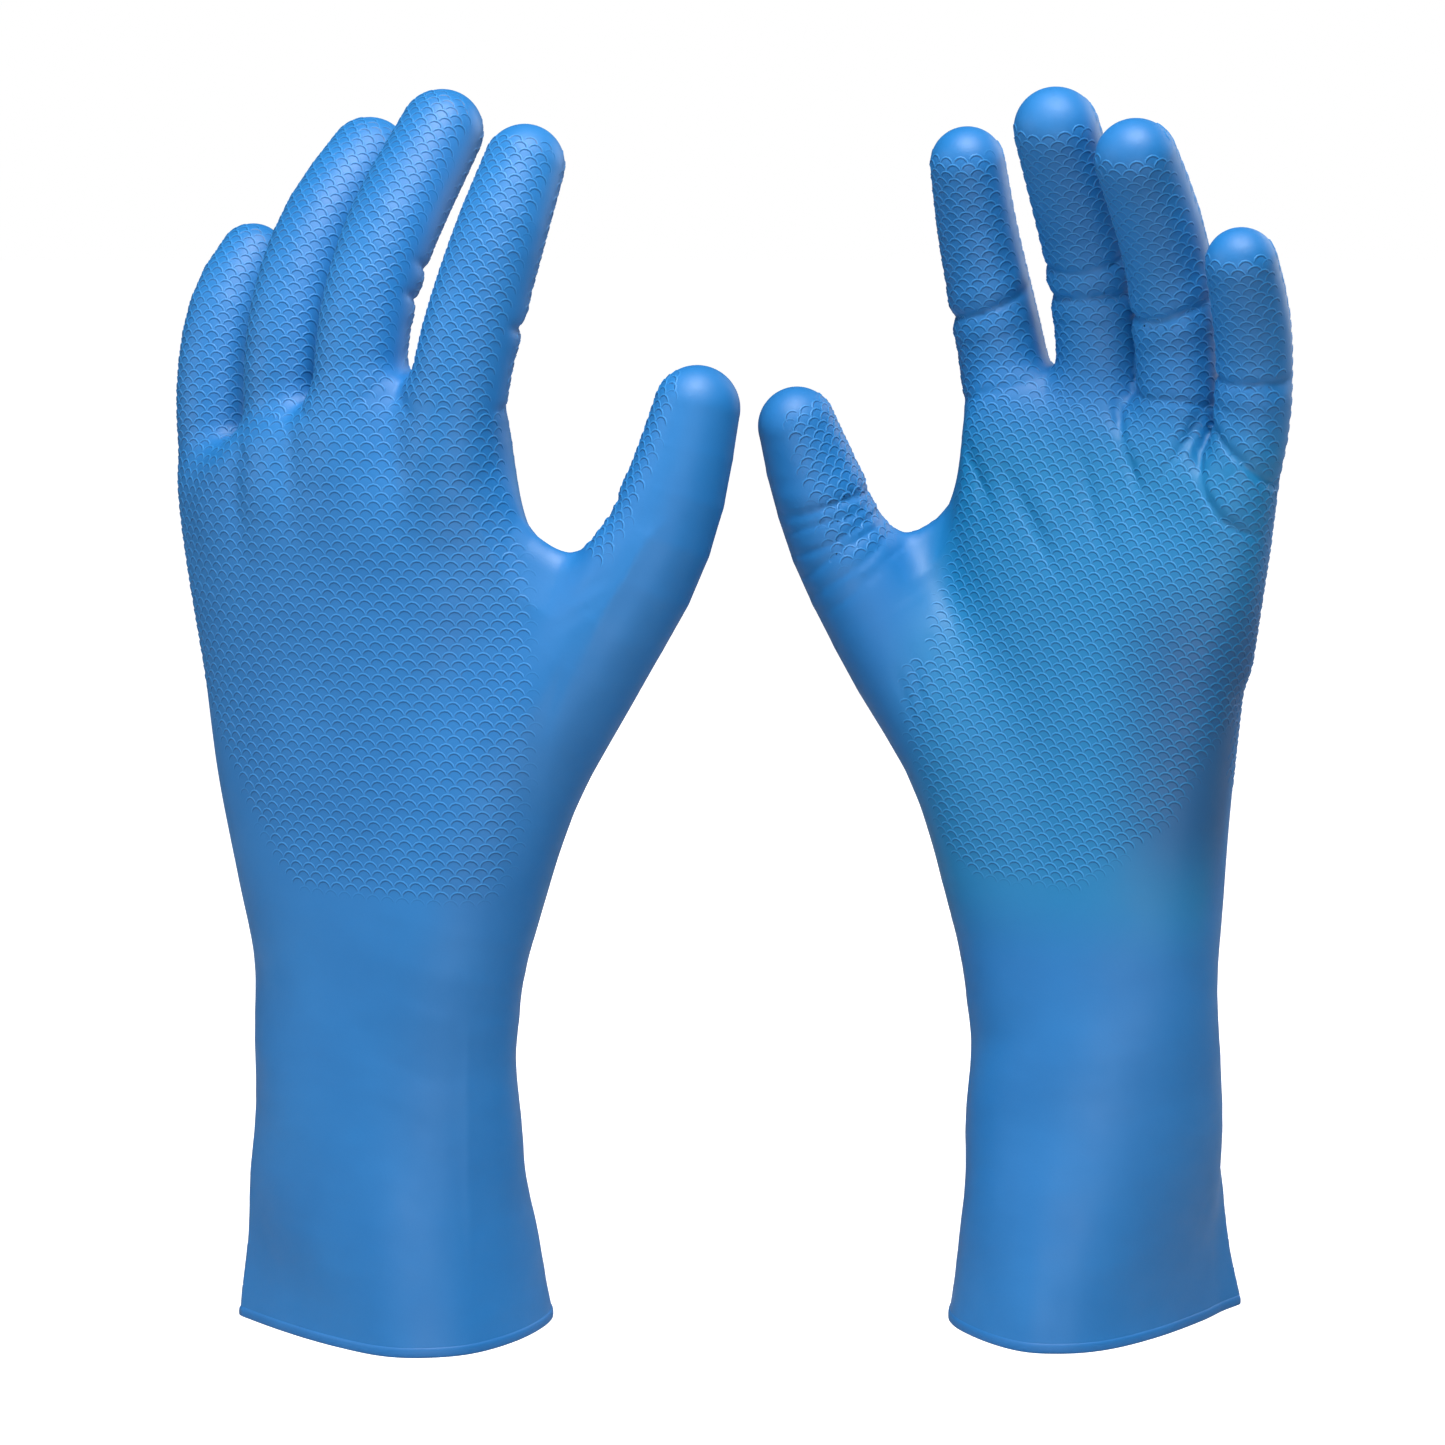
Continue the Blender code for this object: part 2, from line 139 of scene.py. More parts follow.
# The hem's outline in u and n, with a corner at the back of the little finger's side.
HEMS = {
    "left": [
        (-34.5, -20.5), (-12.5, -25.5), (5, -28), (20, -27.5), (31, -21.5), (38.5, -11), (41.5, 6),
        (38.5, 22), (28, 31), (14, 34), (0, 32), (-14, 23), (-25, 5), (-31.5, -10),
    ],
    "right": [
        (-31, -28.5), (-12, -31), (6, -31), (22, -26), (33, -14), (38, 2), (33.5, 21), (22, 31), (6.5, 36.5),
        (-5, 33), (-14, 24.5), (-21, 10), (-26.5, -9), (-28.5, -20),
    ],
}
HEM_REACH = 62.0  # the sleeve is oval again this high up
# The web between the palm and the thumb: u, height of its edge.
THUMB_WEB = [
    (36, 232), (39.7, 221.6), (42.8, 215.3), (46.2, 211.4), (50.4, 208.3), (53.8, 206.3), (57, 205.7),
    (60, 206.5), (64, 210),
]
THUMB_SWING = np.array([-0.75, 0.66, 0.0])
DEPTH_SHARE = 0.94  # a digit's depth over its width

# How far below and above each flexing line the skin bends.
WRIST_BEND = (-20.0, 20.0)
ROOT_BEND = (-4.0, 5.0)
MIDDLE_BEND = (-6.0, 8.0)
SEAM_MARGIN = 1.3  # pieces part this far outside the stretch that bends

GRID_STEP = 2.0
HEM_TOP = 2.4  # the skin starts here, on top of the bead
WALL = 0.45
CHAIN_STEPS = 15
FAR = 60.0
REACH = 26.0  # a digit has no effect further away than this
FINGER_MELT = 1.6  # how softly neighbouring fingers join in a web
PALM_MELT = 7.0
THUMB_MELT = 16.0
TOP_MELT = 9.0
WEB_MELT = 7.0
PROBE = 0.5  # how far each way a direction is measured
TINY = 1e-6
ON_AXIS = 1e-9  # keeps an oval's slope defined on its own axes
HEM_CURVE_STEPS = 16
HEM_ANGLES = 361

# Slopes that keep each shape's distances close to true ones.
HEM_SLOPE = 0.93
TOP_SLOPE = 0.94
WEB_SLOPE = 0.85
WEB_SIDE_SLOPE = 0.8

# The sleeve: where the palm's arch stops growing, and how much squarer than an oval the hand becomes.
ARCH_EDGE = 1.2
SQUARER = 0.5
SQUARER_OVER = 60.0

# The thumb's web: its run in u, its middle's n and how much that grows, and half its thickness, which
# grows downwards from its edge between two limits.
WEB_SPAN = (36.0, 66.0)
WEB_MIDDLE = 2.0
WEB_SHIFT = 9.0
WEB_HALF = 2.6
WEB_GROWTH = 0.30
WEB_HALVES = (1.0, 7.0)
WEB_ROUNDING = 5.0
THUMB_RUN = (120.0, 225.0)

FOLD_BAND = 4.5  # folds and creases are worked out this close to the skin
CREASE_BAND = 6.0
LONGEST_STEP = 2.0
LEAST_SLOPE = 0.05

# Fish scales: each is an arched ridge, convex to the fingertips, and rows are staggered by half a pitch.
# Each part's pitch, spacing of rows, and how many degrees they climb towards the thumb.
BACK_SCALES = (4.3, 2.1, 0.0)
PALM_SCALES = (3.8, 1.75, -9.0)
DIGIT_SCALES = (4.1, 1.8, 0.0)
ARCH = 0.97  # rise of an arch over half a pitch
ARCH_DROP = 0.44  # how far an arch's foot lies below its scale's place, over half a pitch
ARC_START_DEG = 8.0
ARC_POINTS = 7
END_HEIGHT = 0.25  # of a ridge's full height, where its arch ends
END_FADE = 0.35
# A ridge's section, from its outer foot to its inner foot: distance outwards from the crest, height, how
# far its normal leans outwards, and its painted light, from -1 for a painted highlight on the crest to 1
# for painted shade in its groove.
RIDGE = [(0.3, -0.1, 0.75, 0.1), (0, 0.24, 0.15, -1), (-0.36, 0.03, -0.55, 1), (-0.8, -0.06, 0, 0)]
SECTION = len(RIDGE)
FAINTEST = 0.15
SHARPEST_TURN = 0.72  # no scale lies where the skin turns under it by more than this cosine's angle
OFF_SKIN = 0.6  # no scale lies further than this from the skin
DIGIT_OWNS = 2.5  # a digit's scales lie this close to it
# Where scales fade in: inwards from the pattern's thumb side and its lowest edge, by how far the skin
# faces the back or the palm, down from a digit's tip, and up from the thumb's lowest row.
EDGE_FADE = (-0.5, 3.5)
LIFT_FADE = (-0.5, 4.0)
HAND_FADE = (-0.12, 0.06)
FINGER_FADE = (0.2, 0.42)
THUMB_FADE = (0.1, 0.3)
TIP_FADE = (-1.0, 3.0)
THUMB_ROOT_FADE = (-0.1, 2.5)

# Charts: strips of skin that the rows are measured on.
CHART_ANGLES = 91
CHART_STEP = 1.5
CHART_START = 2.0
CHART_NEAREST = 0.5
CHART_ROUNDS = 22
CHART_SHARE = 0.9
HAND_HEIGHTS = (112.0, 252.0)
HAND_SPREAD = 96.0
HAND_FURTHEST = 75.0
ARCH_SHARE = 0.35
DIGIT_SPREAD = 85.0
DIGIT_FURTHEST = 5.0  # past its widest radius
ROWS_SPARE = 6.0
TIP_START = 0.6
TIP_SHARE = 0.75  # the rows end this far into a digit's round tip
THUMB_LEAN_DEG = 45.0

# Outlines of the patterned skin on the hand: (height, furthest u to the thumb) and (u, lowest height).
BACK_THUMBWARD = [(112, 40), (131, 48), (166, 54), (195, 50), (215, 45), (250, 42)]
BACK_LOWEST = [(-60, 180), (-48, 160), (-34, 144), (-25, 131), (-12, 117), (60, 117)]
PALM_THUMBWARD = [(118, 28), (127, 37), (142, 42), (158, 47), (173, 47), (191, 43), (210, 40), (250, 36)]
PALM_LOWEST = [(-60, 185), (-36, 160), (-26, 138), (-12, 126), (-1, 118), (27, 119), (37, 127), (60, 150)]
# Each finger's own rows start here, and the hand's rows stop.
DIGIT_ROWS_FROM = {"index": 243, "middle": 243, "ring": 238, "little": 229, "thumb": 199}


def spline(stations, height):
    """The stations' values at each height, on one smooth curve through them all."""
    table = np.array(stations, float)
    knots, values = table[:, 0], table[:, 1:]
    last = len(knots) - 1
    ahead = np.minimum(np.arange(len(knots)) + 1, last)
    behind = np.maximum(np.arange(len(knots)) - 1, 0)
    slopes = (values[ahead] - values[behind]) / (knots[ahead] - knots[behind])[:, None]
    height = np.clip(height, knots[0], knots[-1])
    i = np.clip(np.searchsorted(knots, height, side="right") - 1, 0, last - 1)
    span = (knots[i + 1] - knots[i])[..., None]
    t = (height - knots[i])[..., None] / span
    rise = values[i + 1] - values[i]
    slope_low, slope_high = slopes[i] * span, slopes[i + 1] * span
    return (
        values[i] + slope_low * t + (3 * rise - 2 * slope_low - slope_high) * t**2
        + (slope_low + slope_high - 2 * rise) * t**3
    )


def unit(vectors):
    return vectors / np.linalg.norm(vectors, axis=-1, keepdims=True)


def smoothstep(low, high, x):
    t = np.clip((x - low) / (high - low), 0, 1)
    return t * t * (3 - 2 * t)


def smooth_min(a, b, reach):
    t = np.clip(0.5 + 0.5 * (b - a) / reach, 0, 1)
    return b + (a - b) * t - reach * t * (1 - t)


class Digit:
    """A finger or the thumb, as a chain of short tapered rods with an oval section."""

    def __init__(self, side, name):
        self.name = name
        self.stations = PATHS[side][name]
        self.flex = FLEX[side][name]
        self.heights = np.linspace(self.stations[0][0], self.stations[-1][0], CHAIN_STEPS)
        self.centres, self.radii = self.at(self.heights)
        _, self.sideways, self.palmwards = self.axes((self.heights[1:] + self.heights[:-1]) / 2)
        self.low = self.centres.min(0) - REACH
        self.high = self.centres.max(0) + REACH

    def at(self, heights):
        heights = np.atleast_1d(np.asarray(heights, float))
        values = spline(self.stations, heights)
        return np.column_stack([values[:, :2], heights]), values[:, 2]

    def along(self, heights):
        low, high = self.stations[0][0] + PROBE, self.stations[-1][0] - PROBE
        heights = np.clip(np.atleast_1d(heights), low, high)
        return unit(self.at(heights + PROBE)[0] - self.at(heights - PROBE)[0])

    def axes(self, heights):
        """The directions along the digit, across it and towards its palm side."""
        along = self.along(heights)
        if self.name == "thumb":
            across = unit(np.cross(along, THUMB_SWING))
        else:
            across = np.tile([-1.0, 0.0, 0.0], (len(along), 1))
        return along, across, unit(np.cross(across, along))

    def measure(self, points):
        """For each point: distance to the skin, height, and how far it faces palmwards and across."""
        found = np.zeros((4, len(points)))
        found[0], found[1] = FAR, self.heights[0]
        near = np.flatnonzero(((points > self.low) & (points < self.high)).all(1))
        p, best = points[near], found[:, near]
        for k in range(CHAIN_STEPS - 1):
            run = self.centres[k + 1] - self.centres[k]
            t = np.clip((p - self.centres[k]) @ run / (run @ run), 0, 1)
            offset = p - self.centres[k] - t[:, None] * run
            depth = offset @ self.palmwards[k]
            offset += (depth * (1 / DEPTH_SHARE - 1))[:, None] * self.palmwards[k]
            length = np.sqrt((offset * offset).sum(1))
            distance = length - self.radii[k] - t * (self.radii[k + 1] - self.radii[k])
            height = self.heights[k] + t * (self.heights[k + 1] - self.heights[k])
            length = np.maximum(length, TINY)
            here = np.stack([distance, height, depth / length, offset @ self.sideways[k] / length])
            best = np.where(distance < best[0], here, best)
        found[:, near] = best
        return found


def hem_outline(points, centre):
    """The hem as a distance from the sleeve's centre for each angle, from -pi to pi."""
    points = np.array(points, float) - centre
    count = len(points)
    t = np.linspace(0, 1, HEM_CURVE_STEPS, endpoint=False)[:, None]
    curve = []
    for i in range(count):
        low, high = points[i], points[(i + 1) % count]
        before = low if i == 0 else points[i - 1]
        after = high if i == count - 1 else points[(i + 2) % count]
        a, b = (high - before) / 2, (after - low) / 2
        run = high - low
        curve.append(low + a * t + (3 * run - 2 * a - b) * t**2 + (a + b - 2 * run) * t**3)
    curve = np.concatenate(curve)
    angles = np.arctan2(curve[:, 1], curve[:, 0])
    order = np.argsort(angles)
    even = np.linspace(-np.pi, np.pi, HEM_ANGLES)
    radii = np.interp(even, angles[order], np.hypot(*curve.T)[order], period=2 * np.pi)
    radii = (np.roll(radii[:-1], 1) + 2 * radii[:-1] + np.roll(radii[:-1], -1)) / 4
    return even, np.append(radii, radii[0])


class Glove:
    """The whole skin of one glove as a distance field, in its own frame and in millimetres."""

    def __init__(self, side):
        self.side = side
        self.sleeve = SLEEVES[side]
        self.web_line = np.array(WEB_LINES[side], float)
        self.hem_angles, self.hem_radii = hem_outline(HEMS[side], self.sleeve[0][1:3])
        self.digits = {name: Digit(side, name) for name in DIGITS}
        x, y, turn = PLACES[side]
        c, s = math.cos(math.radians(turn)), math.sin(math.radians(turn))
        self.matrix = np.array([[c, -s, 0], [s, c, 0], [0, 0, 1.0]])
        self.origin = np.array([x, y, 0.0])

    def world(self, points):
        """Points of the glove's frame in the row frame, in metres."""
        return (np.asarray(points, float) @ self.matrix.T + self.origin) * MM

    def directions(self, vectors):
        return vectors @ self.matrix.T

    def sleeve_distance(self, p):
        u, n, half_width, half_depth, arch, twist = spline(self.sleeve, p[:, 2]).T
        across = p[:, 0] - u
        deep = p[:, 1] - n - arch * np.clip(across / half_width, -ARCH_EDGE, ARCH_EDGE) ** 2
        c, s = np.cos(np.radians(twist)), np.sin(np.radians(twist))
        x, y = across * c + deep * s, deep * c - across * s
        power = 2 + SQUARER * smoothstep(WRIST, WRIST + SQUARER_OVER, p[:, 2])
        a, b = np.abs(x) / half_width + ON_AXIS, np.abs(y) / half_depth + ON_AXIS
        size = (a**power + b**power) ** (1 / power)
        slope = np.hypot(a ** (power - 1) / half_width, b ** (power - 1) / half_depth)
        oval = (size - 1) / (slope * size ** (1 - power))
        hem = np.interp(np.arctan2(deep, across), self.hem_angles, self.hem_radii)
        pointed = HEM_SLOPE * (np.hypot(across, deep) - hem * half_width / self.sleeve[0][3])
        share = smoothstep(HEM_REACH, 0, p[:, 2])
        return oval + (pointed - oval) * share

    def web_distance(self, p):
        """The web of the thumb: a sheet that thickens downwards, between the palm and the thumb."""
        u, n, z = p.T
        below = np.interp(u, *np.transpose(THUMB_WEB)) - z
        middle = WEB_MIDDLE + WEB_SHIFT * smoothstep(*WEB_SPAN, u)
        half = np.clip(WEB_HALF + WEB_GROWTH * below, *WEB_HALVES)
        sheet = -smooth_min(-(np.abs(n - middle) - half), below * WEB_SLOPE, WEB_ROUNDING)
        thumb = self.digits["thumb"].at(np.clip(z, *THUMB_RUN))[0][:, 0]
        return np.maximum(np.maximum(sheet, WEB_SIDE_SLOPE * (u - thumb)), WEB_SPAN[0] - u)

    def palm_distance(self, p):
        top = np.interp(p[:, 0], self.web_line[:, 0], self.web_line[:, 1])
        return -smooth_min(-self.sleeve_distance(p), -(p[:, 2] - top) * TOP_SLOPE, TOP_MELT)

    def field(self, p):
        skin = self.palm_distance(p)
        fingers = np.full(len(p), FAR)
        for name in FINGERS:
            fingers = smooth_min(fingers, self.digit_distance(name, p), FINGER_MELT)
        skin = smooth_min(skin, fingers, PALM_MELT)
        skin = smooth_min(skin, self.digit_distance("thumb", p), THUMB_MELT)
        skin = smooth_min(skin, self.web_distance(p), WEB_MELT)
        near = np.flatnonzero(np.abs(skin) < FOLD_BAND)
        skin[near] += folds(p[near]) + waves(p[near])
        return skin

    def digit_distance(self, name, p):
        distance, height, facing, aside = self.digits[name].measure(p)
        near = np.flatnonzero(np.abs(distance) < CREASE_BAND)
        distance[near] += creases(self.side, name, height[near], facing[near], aside[near])
        return distance

    def gradient(self, p, step=0.08):
        total = np.zeros_like(p)
        for corner in np.array([[1, -1, -1], [-1, -1, 1], [-1, 1, -1], [1, 1, 1]], float):
            total += corner * self.field(p + corner * step)[:, None]
        return total / (4 * step)

    def settle(self, p, rounds):
        """Moves points onto the skin."""
        for _ in range(rounds):
            slope = self.gradient(p)
            shift = self.field(p) / np.maximum((slope**2).sum(1), LEAST_SLOPE)
            p = p - np.clip(shift, -LONGEST_STEP, LONGEST_STEP)[:, None] * slope
        return p


# Creases of the digits, on the palm side: height, rise towards the little finger, depth and width.
CREASES = {
    "index": [
        (267.5, 2.2, 1.05, 1.2), (262.5, 1.5, -0.35, 2.4), (272.5, 2, -0.3, 2.6), (245.5, 1.6, 0.55, 1.3),
    ],
    "middle": [(280.5, 0.8, 0.85, 1.1), (276.2, 0.4, -0.45, 2), (272, 0.2, 0.95, 1.2), (267, 0, -0.3, 2.4)],
    "ring": [
        (268.5, 2, 1.05, 1.2), (263.5, 1.6, -0.4, 2.4), (273.5, 1.8, -0.3, 2.6), (245.5, -1.2, 0.65, 1.2),
    ],
    "little": [(251.8, 0.2, 1, 1.2), (247, 0, -0.35, 2.2), (232.5, -6, 0.9, 1.1), (237, -5, -0.3, 2)],
    "thumb": [
        (215.2, -1.2, 0.8, 1), (211.6, -0.6, 0.4, 0.8), (207.6, 1.2, 0.45, 0.9), (204, 1.5, 0.45, 0.9),
        (199.4, 2.2, 0.35, 1), (195, 2, 0.25, 1.1), (219.5, -1, -0.3, 2.6),
    ],
}
CREASE_SHIFT = {"left": {"thumb": 2.0}, "right": {}}
CREASE_FADE = (-0.35, 0.45)
WOBBLE = 0.35
WOBBLE_TURNS = 4.0


def creases(side, name, height, facing, aside):
    """How far the flexing creases of a digit dip into its skin, or stand out of it."""
    total = np.zeros_like(height)
    palm_side = smoothstep(*CREASE_FADE, facing)
    shift = CREASE_SHIFT[side].get(name, 0.0)
    for at, rise, depth, width in CREASES[name]:
        away = height - at - shift - rise * aside - WOBBLE * np.sin(aside * WOBBLE_TURNS + at)
        total += depth * palm_side * np.exp(-((away / width) ** 2))
    return total


# Folds of the hand: side (1 palm, -1 back), the line's u and height at each end, depth and width.
FOLDS = [
    (1, -4, 244, -8, 233, 1.1, 1.3), (1, -8, 233, -14, 221, 1, 1.6), (1, 3.5, 231, -3.5, 209, 0.85, 2),
    (1, 24, 226, 8, 201, 0.75, 2.4), (1, 35, 231, 27, 215, 0.65, 1.8), (1, -21, 226, -28, 243, 0.9, 1.3),
    (1, 14, 222, 9, 210, -0.5, 3), (1, -9, 217, -13, 203, -0.45, 3.2), (1, 44.5, 179, 39.5, 160, 0.38, 1.2),
    (1, 48, 174, 42, 158, 0.3, 1.1), (1, 40, 181, 36.5, 166, 0.25, 1.2),
    (1, -27.5, 234, -30.8, 223.4, 0.85, 1.3), (1, -30.8, 223.4, -35.4, 216.4, 1, 1.3),
    (1, -35.4, 216.4, -43, 212.2, 0.95, 1.3), (1, -35, 222, -41, 217, -0.6, 2.6),
    (-1, 12, 251, 18, 221, 0.9, 4.2), (-1, -17.5, 247, -13, 213, 1, 3.8), (-1, -33, 234, -31, 205, 0.9, 3.6),
    (-1, -2, 240, 0, 222, -0.7, 7), (-1, 27, 243, 28, 222, -0.6, 7), (-1, -26, 234, -24, 212, -0.6, 6),
    (-1, -47, 222, -44, 200, -0.5, 6), (-1, -17, 243, -8, 239, 0.3, 1.2), (-1, 9, 249, 3, 240, 0.3, 1.4),
    (-1, 13, 247, 22, 240, 0.28, 1.5), (-1, -33, 231, -27, 226, 0.26, 1.3), (-1, 57, 176, 49, 140, 0.3, 2.2),
    (-1, 62, 186, 55, 164, 0.3, 1.8), (-1, 60, 196, 72, 204, 0.22, 1.6), (-1, 58, 190, 70, 197, 0.2, 1.6),
]
FOLD_SPARE = 2.2  # widths to each side of a fold that it reaches
FOLD_END = 0.35  # of a fold's depth, at its two ends
FACE_FADE = 3.0
FACE_MIDDLE = (-1.0, 0.06)  # n where the palm side begins, and its rise towards the thumb


def folds(p):
    """How far the hand's folds dip into its skin, or stand out of it."""
    total = np.zeros(len(p))
    for side, u0, z0, u1, z1, depth, width in FOLDS:
        run = np.array([u1 - u0, z1 - z0], float)
        spare = FOLD_SPARE * width
        box = (p[:, 0] > min(u0, u1) - spare) & (p[:, 0] < max(u0, u1) + spare)
        box &= (p[:, 2] > min(z0, z1) - spare) & (p[:, 2] < max(z0, z1) + spare)
        near = np.flatnonzero(box)
        offset = p[near][:, [0, 2]] - (u0, z0)
        t = np.clip(offset @ run / (run @ run), 0, 1)
        away = np.linalg.norm(offset - t[:, None] * run, axis=1)
        taper = FOLD_END + (1 - FOLD_END) * np.sin(np.pi * t)
        middle = FACE_MIDDLE[0] + FACE_MIDDLE[1] * np.maximum(p[near, 0], 0)
        face = smoothstep(-FACE_FADE, FACE_FADE, side * (p[near, 1] - middle))
        total[near] += depth * taper * face * np.exp(-((away / width) ** 2))
    return total


TIGHT_WAVE = 0.04
LOOSE_WAVE = 0.20
LOOSE_HEIGHTS = (125, 70)
FINE_WAVE = 0.12


def waves(p):
    """Slow unevenness of the skin, most of all on the loose cuff, with fine level wrinkles.

    The numbers under u, n and z set each wave's length, and those in front its share.
    """
    u, n, z = p.T
    loose = TIGHT_WAVE + LOOSE_WAVE * smoothstep(*LOOSE_HEIGHTS, z)
    slow = np.sin(u / 9.0 + z / 17.0) * np.sin(z / 7.3 - n / 11.0) + 0.6 * np.sin(z / 6.1 + u / 23.0)
    sway = 1.7 * np.sin(u / 8.3 + n / 9.7) + 0.9 * np.sin(u / 3.9)
    fine = np.sin(z / 1.35 + sway) * np.sin(z / 5.7 + u / 6.1)
    return loose * (slow + FINE_WAVE * fine)


def beside(axis):
    """Slices that pair each grid point with the next one along an axis."""
    lower, upper = [slice(None)] * 3, [slice(None)] * 3
    lower[axis], upper[axis] = slice(0, -1), slice(1, None)
    return tuple(lower), tuple(upper)


def surface_net(field, low, high):
    """The skin as quads, one point in each grid cell that it passes through."""
    axes = [np.arange(a, b + GRID_STEP, GRID_STEP) for a, b in zip(low, high)]
    shape = tuple(len(a) for a in axes)
    grid = np.stack(np.meshgrid(*axes, indexing="ij"), -1).reshape(-1, 3)
    values = field(grid).reshape(shape)
    inside = values < 0
    cells = tuple(n - 1 for n in shape)
    total, count = np.zeros(cells + (3,)), np.zeros(cells)
    for axis in range(3):
        lower, upper = beside(axis)
        crossing = inside[lower] != inside[upper]
        with np.errstate(divide="ignore", invalid="ignore"):
            t = np.where(crossing, values[lower] / (values[lower] - values[upper]), 0)
        where = np.moveaxis(np.indices(crossing.shape, float), 0, -1).copy()
        where[..., axis] += t
        where *= crossing[..., None]
        b, c = (axis + 1) % 3, (axis + 2) % 3
        for shift_b in (0, 1):
            for shift_c in (0, 1):
                pick = [slice(None)] * 3
                pick[b] = slice(shift_b, shift_b + cells[b])
                pick[c] = slice(shift_c, shift_c + cells[c])
                total += where[tuple(pick)]
                count += crossing[tuple(pick)]
    active = count > 0
    number = np.full(cells, -1)
    number[active] = np.arange(active.sum())
    points = total[active] / count[active][:, None] * GRID_STEP + np.array(low)
    quads = []
    for axis in range(3):
        b, c = (axis + 1) % 3, (axis + 2) % 3
        lower, upper = beside(axis)
        edges = np.argwhere(inside[lower] != inside[upper])
        for side in (b, c):
            edges = edges[(edges[:, side] > 0) & (edges[:, side] < cells[side])]
        corners = []
        for shift_b, shift_c in ((1, 1), (0, 1), (0, 0), (1, 0)):
            cell = edges.copy()
            cell[:, b] -= shift_b
            cell[:, c] -= shift_c
            corners.append(number[tuple(cell.T)])
        quad = np.stack(corners, 1)
        outward = inside[tuple(edges.T)]
        quads.append(np.where(outward[:, None], quad, quad[:, ::-1]))
    return points, np.concatenate(quads)


def edges_of(quads):
    """Every quad's four edges as (lower point, higher point)."""
    return np.sort(np.stack([quads, np.roll(quads, -1, 1)], -1).reshape(-1, 2), 1)


def subdivide(points, quads):
    pairs = edges_of(quads)
    codes = pairs[:, 0] * len(points) + pairs[:, 1]
    keys, first, inverse = np.unique(codes, return_index=True, return_inverse=True)
    edges = pairs[first]
    middles = points[edges].mean(1)
    centres = points[quads].mean(1)
    edge = inverse.reshape(-1, 4) + len(points)
    centre = np.arange(len(quads)) + len(points) + len(keys)
    parts = [np.stack([quads[:, i], edge[:, i], centre, edge[:, i - 1]], 1) for i in range(4)]
    return np.concatenate([points, middles, centres]), np.concatenate(parts)


def relax(points, quads, rounds):
    """Evens out the mesh by moving each point towards the middle of its neighbours."""
    pairs = np.unique(edges_of(quads), axis=0)
    here, there = np.concatenate([pairs, pairs[:, ::-1]]).T
    count = np.bincount(here, minlength=len(points))[:, None]
    for _ in range(rounds):
        total = np.stack([np.bincount(here, points[there, k], len(points)) for k in range(3)], 1)
        points = points + 0.5 * (total / count - points)
    return points


def normals_of(points, quads):
    a, b, c, d = (points[quads[:, i]] for i in range(4))
    face = np.cross(c - a, d - b)
    total = np.zeros_like(points)
    for i in range(4):
        for k in range(3):
            total[:, k] += np.bincount(quads[:, i], face[:, k], len(points))
    return unit(total)


NET_LOW = (-75.0, -42.0, HEM_TOP - GRID_STEP / 2)
NET_HIGH = (100.0, 54.0, 336.0)
EDGE_CATCH = 0.3


def skin_mesh(glove):
    """The outer skin from the top of the bead to the fingertips: points, quads and normals."""
    points, quads = surface_net(glove.field, NET_LOW, NET_HIGH)
    hem = points[:, 2] < HEM_TOP + GRID_STEP / 2
    points[hem, 2] = HEM_TOP
    for rounds in (3, 1):
        points = relax(points, quads, rounds)
        points = glove.settle(points, 1)
        points[hem, 2] = HEM_TOP
    points, quads = subdivide(points, quads)
    points = glove.settle(points, 1)
    points[points[:, 2] < HEM_TOP + EDGE_CATCH, 2] = HEM_TOP
    return points, quads, normals_of(points, quads)


# The rolled bead at the hem: its section, away from the middle of the wall and up from the floor.
BEAD = [
    (-0.42, 0), (0.42, 0), (0.6, 0.22), (0.66, 0.8), (0.64, 1.4), (0.54, 2), (0.34, 2.5), (0, 2.7),
    (-0.34, 2.5), (-0.54, 2), (-0.64, 1.4), (-0.66, 0.8), (-0.6, 0.22),
]
BEAD_STEPS = 200
BEAD_START = 10.0
BEAD_ROUNDS = 30
BEAD_SHARE = 0.8


def build_bead(glove, look):
    turn = np.linspace(0, 2 * np.pi, BEAD_STEPS, endpoint=False)
    spoke = np.stack([np.cos(turn), np.sin(turn), np.zeros(BEAD_STEPS)], 1)
    u, n = spline(glove.sleeve, np.array([HEM_TOP]))[0][:2]
    ring = np.array([u, n, HEM_TOP]) + BEAD_START * spoke
    for _ in range(BEAD_ROUNDS):
        ring -= BEAD_SHARE * glove.field(ring)[:, None] * spoke
    tangent = unit(np.roll(ring, -1, 0) - np.roll(ring, 1, 0))
    outward = np.cross(tangent, [0, 0, 1.0])
    section = np.array(BEAD)
    centre = ring - outward * WALL / 2
    points = centre[:, None] + section[None, :, :1] * outward[:, None]
    points[..., 2] = section[:, 1]
    slope = np.roll(section, -1, 0) - np.roll(section, 1, 0)
    normals = outward[:, None] * slope[None, :, 1:] + np.array([0, 0, 1.0]) * -slope[None, :, :1]
    i, j = np.meshgrid(np.arange(BEAD_STEPS), np.arange(len(BEAD)), indexing="ij")
    after, above = (i + 1) % BEAD_STEPS, (j + 1) % len(BEAD)
    i, after = i * len(BEAD), after * len(BEAD)
    faces = np.stack([i + j, after + j, after + above, i + above], -1).reshape(-1, 4)
    shape = glove.world(points.reshape(-1, 3))
    out = glove.directions(unit(normals.reshape(-1, 3)))
    plain = np.zeros(len(shape))
    made = make_mesh(f"{glove.side}_cuff_rolled_bead", shape, faces, out, plain, plain)
    made.data.materials.append(look)
    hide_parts(f"{glove.side}_cuff_bead")
    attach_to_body(made, f"{glove.side}_cuff")


class Bend:
    """A stretch of skin that bends between two bodies, from start to end along a line."""

    def __init__(self, start, end):
        self.start, self.end = np.array(start, float), np.array(end, float)
        self.run = self.end - self.start
        self.length = np.linalg.norm(self.run)

    def past(self, points):
        """How far points are past the start, in millimetres."""
        return (points - self.start) @ self.run / self.length


